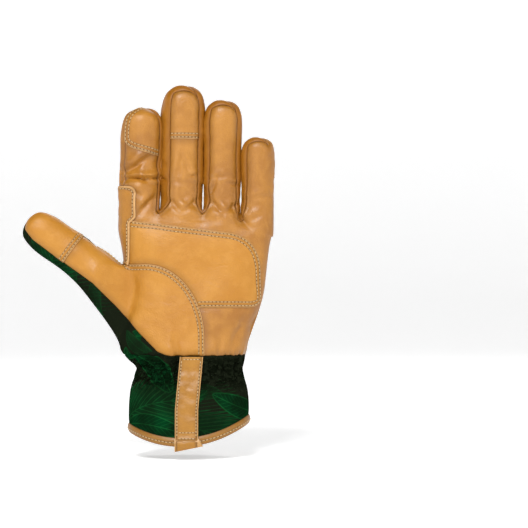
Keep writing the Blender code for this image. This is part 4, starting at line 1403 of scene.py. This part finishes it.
def leather_finish(name, colour, deep, pale, gloss):
    """Golden grain leather with painted shade: darker towards its edges, along its stitched grooves and in
    its seam lines, which are partly the joints' own dark; paler along its cut edges.
    """
    nodes = Nodes(name)
    edge = nodes.attribute("edge")
    row = nodes.attribute("row")
    broad = nodes.noise(0.030, 3.0, 0.55)
    mottle = nodes.noise(0.007, 4.0, 0.6)
    pores = Number(nodes, nodes.cells(0.0008, "SMOOTH_F1").outputs["Distance"])
    # Painted shade: up to half darker towards every edge of the piece, fading out within 6 mm.
    edge_shade = nodes.ramp(edge, 0.0, 0.0060) * -0.50 + 0.50
    # Dark line within 0.5 mm of a seam: partly the joint's own dark, partly painted shade in the groove.
    seam = nodes.fading(edge, 0.0, 0.0005)
    cut = nodes.fading(row, 0.0002, 0.0008)
    # Painted shade along each row of stitches, in the groove that it presses in; the same bands sink the
    # bump.
    first, second = (nodes.fading(abs(row - away), 0.0001, 0.0005) for away in DOUBLE_ROW)
    holes = first.maths("MAXIMUM", second)

    shade = nodes.blend(nodes.ramp(broad, 0.35, 0.68), deep, colour)
    shade = nodes.blend(nodes.ramp(mottle, 0.42, 0.70) * 0.50, shade, pale)
    shade = nodes.blend(nodes.ramp(pores, 0.15, 0.60) * 0.22, shade, deep)
    shade = nodes.blend(edge_shade, shade, tuple(0.60 * part for part in deep))
    shade = nodes.blend(seam * 0.85, shade, SEAM_LINE_AND_SHADE)
    shade = nodes.blend(cut * 0.85, shade, RAW_EDGE)
    shade = nodes.blend(holes * 0.30, shade, STITCH_GROOVE_SHADE)

    fine = nodes.noise(0.0006, 3.0, 0.6)
    creased = nodes.noise(0.0045, 4.0, 0.62, nodes.stretched(1.9), 0.8)
    folded = nodes.noise(0.0170, 2.0, 0.5, nodes.stretched(1.6), 1.2)
    height = pores * 0.28 + fine * 0.18 + creased * 0.12 + folded * 1.0 - holes * 0.9
    nodes.bump(height, 0.00050)
    roughness = nodes.ramp(mottle, 0.2, 0.8) * 0.14 + seam * 0.30 + 0.36
    nodes.set({"Base Color": shade, "Roughness": roughness, "Specular IOR Level": gloss,
               "Coat Weight": 0.06, "Coat Roughness": 0.35})
    return nodes.material


class Leaf:
    """Line drawing of one kind of leaf, one in each cell of a layer of the printed cloth."""

    def __init__(self, nodes, printed, cell, shift):
        spot = nodes.vector(printed, "MULTIPLY_ADD", (1 / cell, 1 / cell, 0.0), shift)
        cells = nodes.cells(1.0, "F1", spot, 0.45)
        away = nodes.vector(spot, "SUBTRACT", Number(nodes, cells.outputs["Position"]))
        turn = nodes.split(Number(nodes, cells.outputs["Color"]), 0) * (2 * math.pi)
        turned = nodes.node("VectorRotate", {"Vector": away, "Angle": turn}, rotation_type="Z_AXIS")
        local = Number(nodes, turned.outputs[0])
        self.nodes = nodes
        self.pick = nodes.split(Number(nodes, cells.outputs["Color"]), 1)
        self.along = nodes.split(local, 0)
        bow = (self.along * self.along - 0.06) * 0.45
        self.side = abs(nodes.split(local, 1) + bow)

    def width(self, half_length, half_width, fullness):
        """Half width of the leaf at a place along it."""
        share = self.along / half_length
        body = (share * share * -1.0 + 1.0).maths("MAXIMUM", 0.0)
        return body.maths("POWER", fullness) * half_width

    def band(self, value, reach):
        """1 where a value is near zero."""
        return self.nodes.fading(abs(value), reach * 0.45, reach)

    def lance(self):
        """Broad leaf with an outline, a midrib and slanting veins: (fill, line)."""
        width = self.width(0.44, 0.155, 0.75)
        inside = self.nodes.ramp(width - self.side, 0.0, 0.006)
        outline = self.band(width - self.side, 0.011) * self.nodes.ramp(width, 0.0, 0.02)
        midrib = self.band(self.side, 0.009)
        slant = ((self.along - self.side * 1.1) * 15.0).maths("FRACT") - 0.5
        veins = self.band(slant, 0.10) * 0.6
        return inside, inside * (midrib.maths("MAXIMUM", veins)) + outline

    def frond(self):
        """Long leaf of narrow leaflets on both sides of a stalk: (fill, line)."""
        width = self.width(0.46, 0.250, 0.55)
        share = self.side / width.maths("MAXIMUM", 0.001)
        slant = ((self.along - self.side * 1.5) * 15.0).maths("FRACT") - 0.5
        leaflet = (share * share * -1.0 + 1.0).maths("MAXIMUM", 0.0).maths("SQRT") * 0.46
        gap = leaflet - abs(slant)
        inside = self.nodes.ramp(gap, 0.0, 0.03) * self.nodes.ramp(width, 0.0, 0.03)
        outline = self.band(gap - 0.02, 0.075) * self.nodes.ramp(width, 0.0, 0.03)
        stalk = self.band(self.side, 0.006) * self.nodes.ramp(width, 0.0, 0.03)
        drawn = self.nodes.ramp(self.pick, 0.38, 0.40)
        line = outline.maths("MAXIMUM", stalk) + self.band(slant, 0.05) * inside * 0.4
        return inside * drawn, line * drawn


def cloth_finish(name):
    """Near-black smooth knit with a print of green line-drawn leaves, with painted shade in its gathers."""
    nodes = Nodes(name)
    printed = nodes.attribute("print", "Vector")
    layers = (
        (Leaf(nodes, printed, 0.030, (7.3, 2.1, 0.0)).lance(), 0.45),
        (Leaf(nodes, printed, 0.074, (1.7, 5.4, 0.0)).frond(), 0.9),
        (Leaf(nodes, printed, 0.047, (3.9, 8.2, 0.0)).lance(), 1.0),
    )
    tone = nodes.noise(0.018, 2.0, 0.5)
    fill = nodes.blend(nodes.ramp(tone, 0.35, 0.7), *LEAF_FILLS)
    bright = nodes.blend(nodes.ramp(tone, 0.3, 0.7), *LEAF_LINES)
    shade = nodes.blend(nodes.noise(0.03, 2.0), *PRINT_GROUNDS)
    for (inside, line), strength in layers:
        shade = nodes.blend(inside * (0.90 * strength), shade, fill)
        shade = nodes.blend((line * strength).maths("MINIMUM", 1.0), shade, bright)
    # Painted shade in the hollows of the gathers round the waist; the same puckers sink the bump.
    waist = nodes.fading(abs(nodes.split(nodes.place, 2) - RUFFLE_MIDDLE), 0.0050, 0.0150)
    ruffled = nodes.noise(0.0048, 2.0, 0.6, nodes.stretched(1.7), 0.6)
    pucker = nodes.ramp(ruffled, 0.44, 0.60) * waist
    shade = nodes.blend(pucker * 0.75, shade, PUCKER_SHADE)
    knit = nodes.noise(0.0007, 2.0, 0.5, nodes.stretched(0.5))
    slub = nodes.noise(0.009, 3.0, 0.5)
    nodes.bump(knit * 0.6 + slub * 2.0 - pucker * 5.0, 0.00022)
    nodes.set({"Base Color": shade, "Roughness": 0.66, "Specular IOR Level": 0.0})
    return nodes.material


def thread_finish(name, colour):
    """Twisted thread of one colour."""
    nodes = Nodes(name)
    twist = nodes.noise(0.0004, 2.0)
    shade = nodes.blend(twist, tuple(0.75 * part for part in colour), colour)
    nodes.bump(twist, 0.0001)
    nodes.set({"Base Color": shade, "Roughness": 0.6})
    return nodes.material


def set_studio():
    """Camera where the photograph was taken from, a pale floor and soft lights."""
    scene = bpy.context.scene
    camera_data = bpy.data.cameras.new("camera")
    camera = bpy.data.objects.new("camera", camera_data)
    camera.location = CAMERA_PLACE
    camera.rotation_euler = (math.radians(90), 0.0, 0.0)
    camera_data.sensor_width = SENSOR_MM
    camera_data.lens = SENSOR_MM * -CAMERA_PLACE[1] / PICTURE_WIDTH
    scene.collection.objects.link(camera)
    scene.camera = camera

    world = bpy.data.worlds.new("studio")
    world.use_nodes = True
    background = world.node_tree.nodes["Background"]
    background.inputs["Color"].default_value = (1.0, 1.0, 1.0, 1.0)
    background.inputs["Strength"].default_value = WORLD_LIGHT
    scene.world = world
    scene.view_settings.view_transform = "Standard"

    for light in LIGHTS:
        data = bpy.data.lights.new(light["name"], "AREA")
        data.energy = light["power"]
        data.size = light["size"]
        item = bpy.data.objects.new(light["name"], data)
        item.location = light["place"]
        item.rotation_euler = (LIGHT_AIM - item.location).to_track_quat("-Z", "Y").to_euler()
        scene.collection.objects.link(item)
    backdrop()


def backdrop():
    """Round pale floor that curves up into a low wall, so that it is plain from every side."""
    profile = [(share * FLOOR_REACH, FLOOR) for share in (0.1, 0.3, 0.6, 1.0)]
    for step in range(1, 13):
        turn = step * math.pi / 24
        radius = FLOOR_REACH + FLOOR_BEND * math.sin(turn)
        profile.append((radius, FLOOR + FLOOR_BEND * (1.0 - math.cos(turn))))
    profile.append((FLOOR_REACH + FLOOR_BEND, FLOOR + FLOOR_BEND + WALL_HEIGHT))
    sides = 64
    places = [(0.0, 0.0, FLOOR)]
    for radius, height in profile:
        for side in range(sides):
            turn = 2 * math.pi * side / sides
            places.append((radius * math.cos(turn), radius * math.sin(turn), height))
    faces = [(0, 1 + side, 1 + (side + 1) % sides) for side in range(sides)]
    for ring in range(len(profile) - 1):
        for side in range(sides):
            low = 1 + ring * sides
            nxt = (side + 1) % sides
            faces.append((low + side, low + sides + side, low + sides + nxt, low + nxt))
    mesh = new_mesh("backdrop", places, faces)
    item = bpy.data.objects.new("backdrop", mesh)
    nodes = Nodes("backdrop")
    nodes.set({"Base Color": (0.90, 0.90, 0.90, 1.0), "Roughness": 0.9, "Specular IOR Level": 0.1,
               "Emission Color": (1.0, 1.0, 1.0, 1.0), "Emission Strength": BACKDROP_GLOW})
    mesh.materials.append(nodes.material)
    bpy.context.scene.collection.objects.link(item)


def foremost(surface, left, width, low, high):
    """Foremost y of what lies under the strap within a small window."""
    depths = []
    for across in range(9):
        for up in range(4):
            origin = Vector((left + width * across / 8, -1.0, mix(low, high, up / 3)))
            hit = surface.ray_cast(origin, Vector((0.0, 1.0, 0.0)))[0]
            if hit:
                depths.append(hit.y)
    return min(depths) if depths else None


def surface_of(panels):
    """Search tree over the outer sides of several pieces."""
    places = []
    faces = []
    for panel in panels:
        start = len(places)
        places += panel.outer.tolist()
        faces += [[start + corner for corner in corners] for corners in panel.faces]
    return BVHTree.FromPolygons(places, faces)


class Strap:
    """Pull strap down the cuff: a stitched band with its end folded under it and hanging free."""

    ROWS = 72
    COLUMNS = 14

    def __init__(self, surface):
        self.depths = []
        last = None
        for row in range(self.ROWS + 1):
            height = self.height(row / self.ROWS)
            left = self.middle(height) - STRAP_WIDTH / 2
            found = foremost(surface, left, STRAP_WIDTH, height - MM, height + MM)
            last = found if found is not None else last
            self.depths.append(last)
        for _ in range(3):
            ends = [self.depths[0]] + self.depths + [self.depths[-1]]
            soft = [(a + b + c) / 3 for a, b, c in zip(ends, ends[1:], ends[2:])]
            self.depths = [min(a, b) for a, b in zip(soft, self.depths)]

    @staticmethod
    def height(share):
        return mix(STRAP_TOP, STRAP_END, share)

    @staticmethod
    def middle(height):
        share = (PALM_EDGE_HEIGHT - height) / (PALM_EDGE_HEIGHT - STRAP_END)
        return mix(STRAP_TOP_X, STRAP_BOTTOM_X, min(1.0, STRAP_DRIFT * share))

    def depth(self, share):
        row = min(max(share, 0.0), 1.0) * self.ROWS
        low = min(int(row), self.ROWS - 1)
        return mix(self.depths[low], self.depths[low + 1], row - low)

    def place(self, across, share, lift=1.0):
        """A place on the strap: across from -1 to 1, share from its top to its end."""
        height = self.height(share)
        x = self.middle(height) + across * STRAP_WIDTH / 2
        edge = max(abs(across) - STRAP_EDGE, 0.0) / (1.0 - STRAP_EDGE)
        end = max(share - STRAP_TAPER, 0.0) / (1.0 - STRAP_TAPER)
        thick = STRAP_THICKNESS * (1.0 - 0.45 * edge ** 2) * (1.0 - 0.5 * end ** 2)
        slack = STRAP_SLACK * noise_at(x * 110 + height * 60, height * 170, 4.0) * (1.0 - across ** 2)
        slack += STRAP_CRINKLE * noise_at(x * 260, height * 260, 2.0)
        return Vector((x, self.depth(share) - STRAP_GAP - lift * (thick + slack + STRAP_RISE), height))

    def tail(self, across, share, lift):
        """A place on the folded end, which shows below the strap and slants."""
        top, low = (left.lerp(right, (across + 1) / 2) for left, right in (TAIL_TOP, TAIL_LOW))
        spot = top.lerp(low, share)
        curl = TAIL_CURL * math.sin(math.pi * share)
        curl += TAIL_CRINKLE * noise_at(spot.x * 200, spot.z * 200, 7.0)
        spot.y = self.depth(1.0) + TAIL_SINK - curl - lift * TAIL_THICKNESS
        return spot

    def band(self, places, faces, point, rows):
        """Closed band with its two sides drawn by point(across, share, lift)."""
        base = len(places)
        wide = self.COLUMNS + 1
        for lift in (1.0, 0.0):
            for row in range(rows + 1):
                for column in range(wide):
                    places.append(point(2 * column / self.COLUMNS - 1, row / rows, lift))
        back = base + (rows + 1) * wide
        for row in range(rows):
            for column in range(self.COLUMNS):
                spot = row * wide + column
                quad = (spot, spot + wide, spot + wide + 1, spot + 1)
                faces.append([base + corner for corner in quad])
                faces.append([back + corner for corner in reversed(quad)])
        rim = list(range(wide)) + [row * wide + wide - 1 for row in range(1, rows + 1)]
        rim += [rows * wide + column for column in range(self.COLUMNS - 1, -1, -1)]
        rim += [row * wide for row in range(rows - 1, 0, -1)]
        for start, end in zip(rim, rim[1:] + rim[:1]):
            faces.append((base + start, base + end, back + end, back + start))

    def mesh(self):
        places = []
        faces = []
        self.band(places, faces, self.place, self.ROWS)
        self.band(places, faces, self.tail, 12)
        edges = []
        rows = []
        for place in places:
            edge = STRAP_WIDTH / 2 - abs(place.x - self.middle(max(place.z, STRAP_END)))
            low = place.z - STRAP_END if place.z > STRAP_END else FAR
            edges.append(max(edge, 0.0) + FIRST_ROW)
            rows.append(min(max(min(edge, low), 0.0), 2 * FIRST_ROW))
        mesh = new_mesh("pull_strap", places, faces)
        add_values(mesh, "edge", edges)
        add_values(mesh, "row", rows)
        mesh.set_sharp_from_angle(angle=SHARP_EDGE)
        return mesh

    def sew(self, thread):
        """Stitches down both sides, across the top and in a box near the end."""
        side = 1.0 - STRAP_ROW / (STRAP_WIDTH / 2)
        top, box, end = STRAP_ROWS_AT["top"], STRAP_ROWS_AT["box"], STRAP_ROWS_AT["end"]
        runs = [((across, top), (across, end)) for across in (-side, side)]
        runs += [((-side, share), (side, share)) for share in (top, end, box)]
        front = Vector((0.0, -1.0, 0.0))
        for (across_a, share_a), (across_b, share_b) in runs:
            run = []
            for step in range(61):
                share = step / 60
                run.append((self.place(mix(across_a, across_b, share), mix(share_a, share_b, share)), front))
            thread.sew(run, STRAP_PITCH, STRAP_STITCH)


def zigzag(surface, thread):
    """Two rows of zigzag elastic stitches across the back of the wrist."""
    for height in ZIGZAG_ROWS:
        run = []
        for step in range(-20, 21):
            rise = ZIGZAG_RISE if step % 2 else -ZIGZAG_RISE
            origin = Vector((step * ZIGZAG_STEP + ZIGZAG_SHIFT, 1.0, height + rise))
            hit, normal, _, _ = surface.ray_cast(origin, Vector((0.0, -1.0, 0.0)))
            if hit:
                run.append((hit, normal if normal.y > 0 else -normal))
        for (start, normal), (end, _) in zip(run, run[1:]):
            thread.stitch(start, end, normal)


def look_of(name):
    """Finish of a piece and its material slot."""
    if name in CLOTH_CUTS:
        return "printed_cloth", "printed_cloth"
    if name == "palm_patch":
        return "patch_leather", "patch_leather"
    if name in ("thumb_leather", "thumb_cap"):
        return "patch_leather", "leather"
    # The sidewalls get the darker leather, painted shade.
    if name.endswith("_wall"):
        return "side_leather", "leather"
    # Strap and binding get the darker leather; on the binding it is painted shade.
    if name in ("hem_binding", "pull_strap"):
        return "trim_leather_shaded", "leather"
    return "golden_leather", "leather"


def dress(name, mesh, finishes):
    """Put a soft piece in the place of the frame's solid of that name."""
    finish, slot = look_of(name)
    item = add_object(name + "_soft", mesh, finishes[finish])
    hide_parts(name)


def sewn_form():
    """The smooth form cut along its seams and pressed, with the piece of each of its faces."""
    cage = build_cage()
    form_mesh = smooth_form(cage, 4)
    form = bmesh.new()
    form.from_mesh(form_mesh)
    bpy.data.meshes.remove(form_mesh)
    for field, names in SEAMS:
        cut_along(form, field, [cage.zones.index(name) for name in names])
    form.normal_update()
    labels = label_faces(form, cage.zones)
    press_form(form)
    return form, labels


def sew_laps(panels, holes, finish):
    """Rows of stitches along the edges that lie over other pieces."""
    for lap in LAPS:
        panel = panels[lap["top"]]
        away = panel.lap_distance(lap)
        sewn = Thread(holes)
        for offset in lap["rows"]:
            for run in panel.contours(away, offset):
                sewn.sew(run)
        sewn.build("stitches_%s_on_%s" % (lap["top"], lap["under"].replace(" ", "_")), finish)


def main():
    """Build every soft piece, its stitches and its needle holes."""
    form, labels = sewn_form()
    borders = find_borders(form, labels)
    panels = {name: Panel(name, form, labels, borders) for name in sorted(set(labels.values()))}
    form.free()

    finishes = {leather["name"]: leather_finish(**leather) for leather in LEATHERS}
    finishes["printed_cloth"] = cloth_finish("printed_cloth")
    thread = thread_finish("beige_thread", BEIGE)
    for name, panel in panels.items():
        wall = CLOTH if name in CLOTH_CUTS else LEATHER
        mesh = panel.mesh(0.0, PATCH_LIFT) if name == "palm_patch" else panel.mesh(wall)
        dress(name, mesh, finishes)
    holes = Holes()
    sew_laps(panels, holes, thread)

    surface = surface_of([panels[name] for name in STRAP_LIES_ON])
    strap = Strap(surface)
    dress("pull_strap", strap.mesh(), finishes)
    sewn = Thread(holes)
    strap.sew(sewn)
    sewn.build("stitches_pull_strap", thread)
    # Dark studs: painted shade of the needle holes.
    holes.build("needle_hole_shade", thread_finish("needle_hole_shade", HOLE_SHADE_BROWN))
    elastic = Thread()
    zigzag(surface, elastic)
    elastic.build("elastic_stitches", thread_finish("dark_thread", ELASTIC_GREEN))


main()
set_studio()
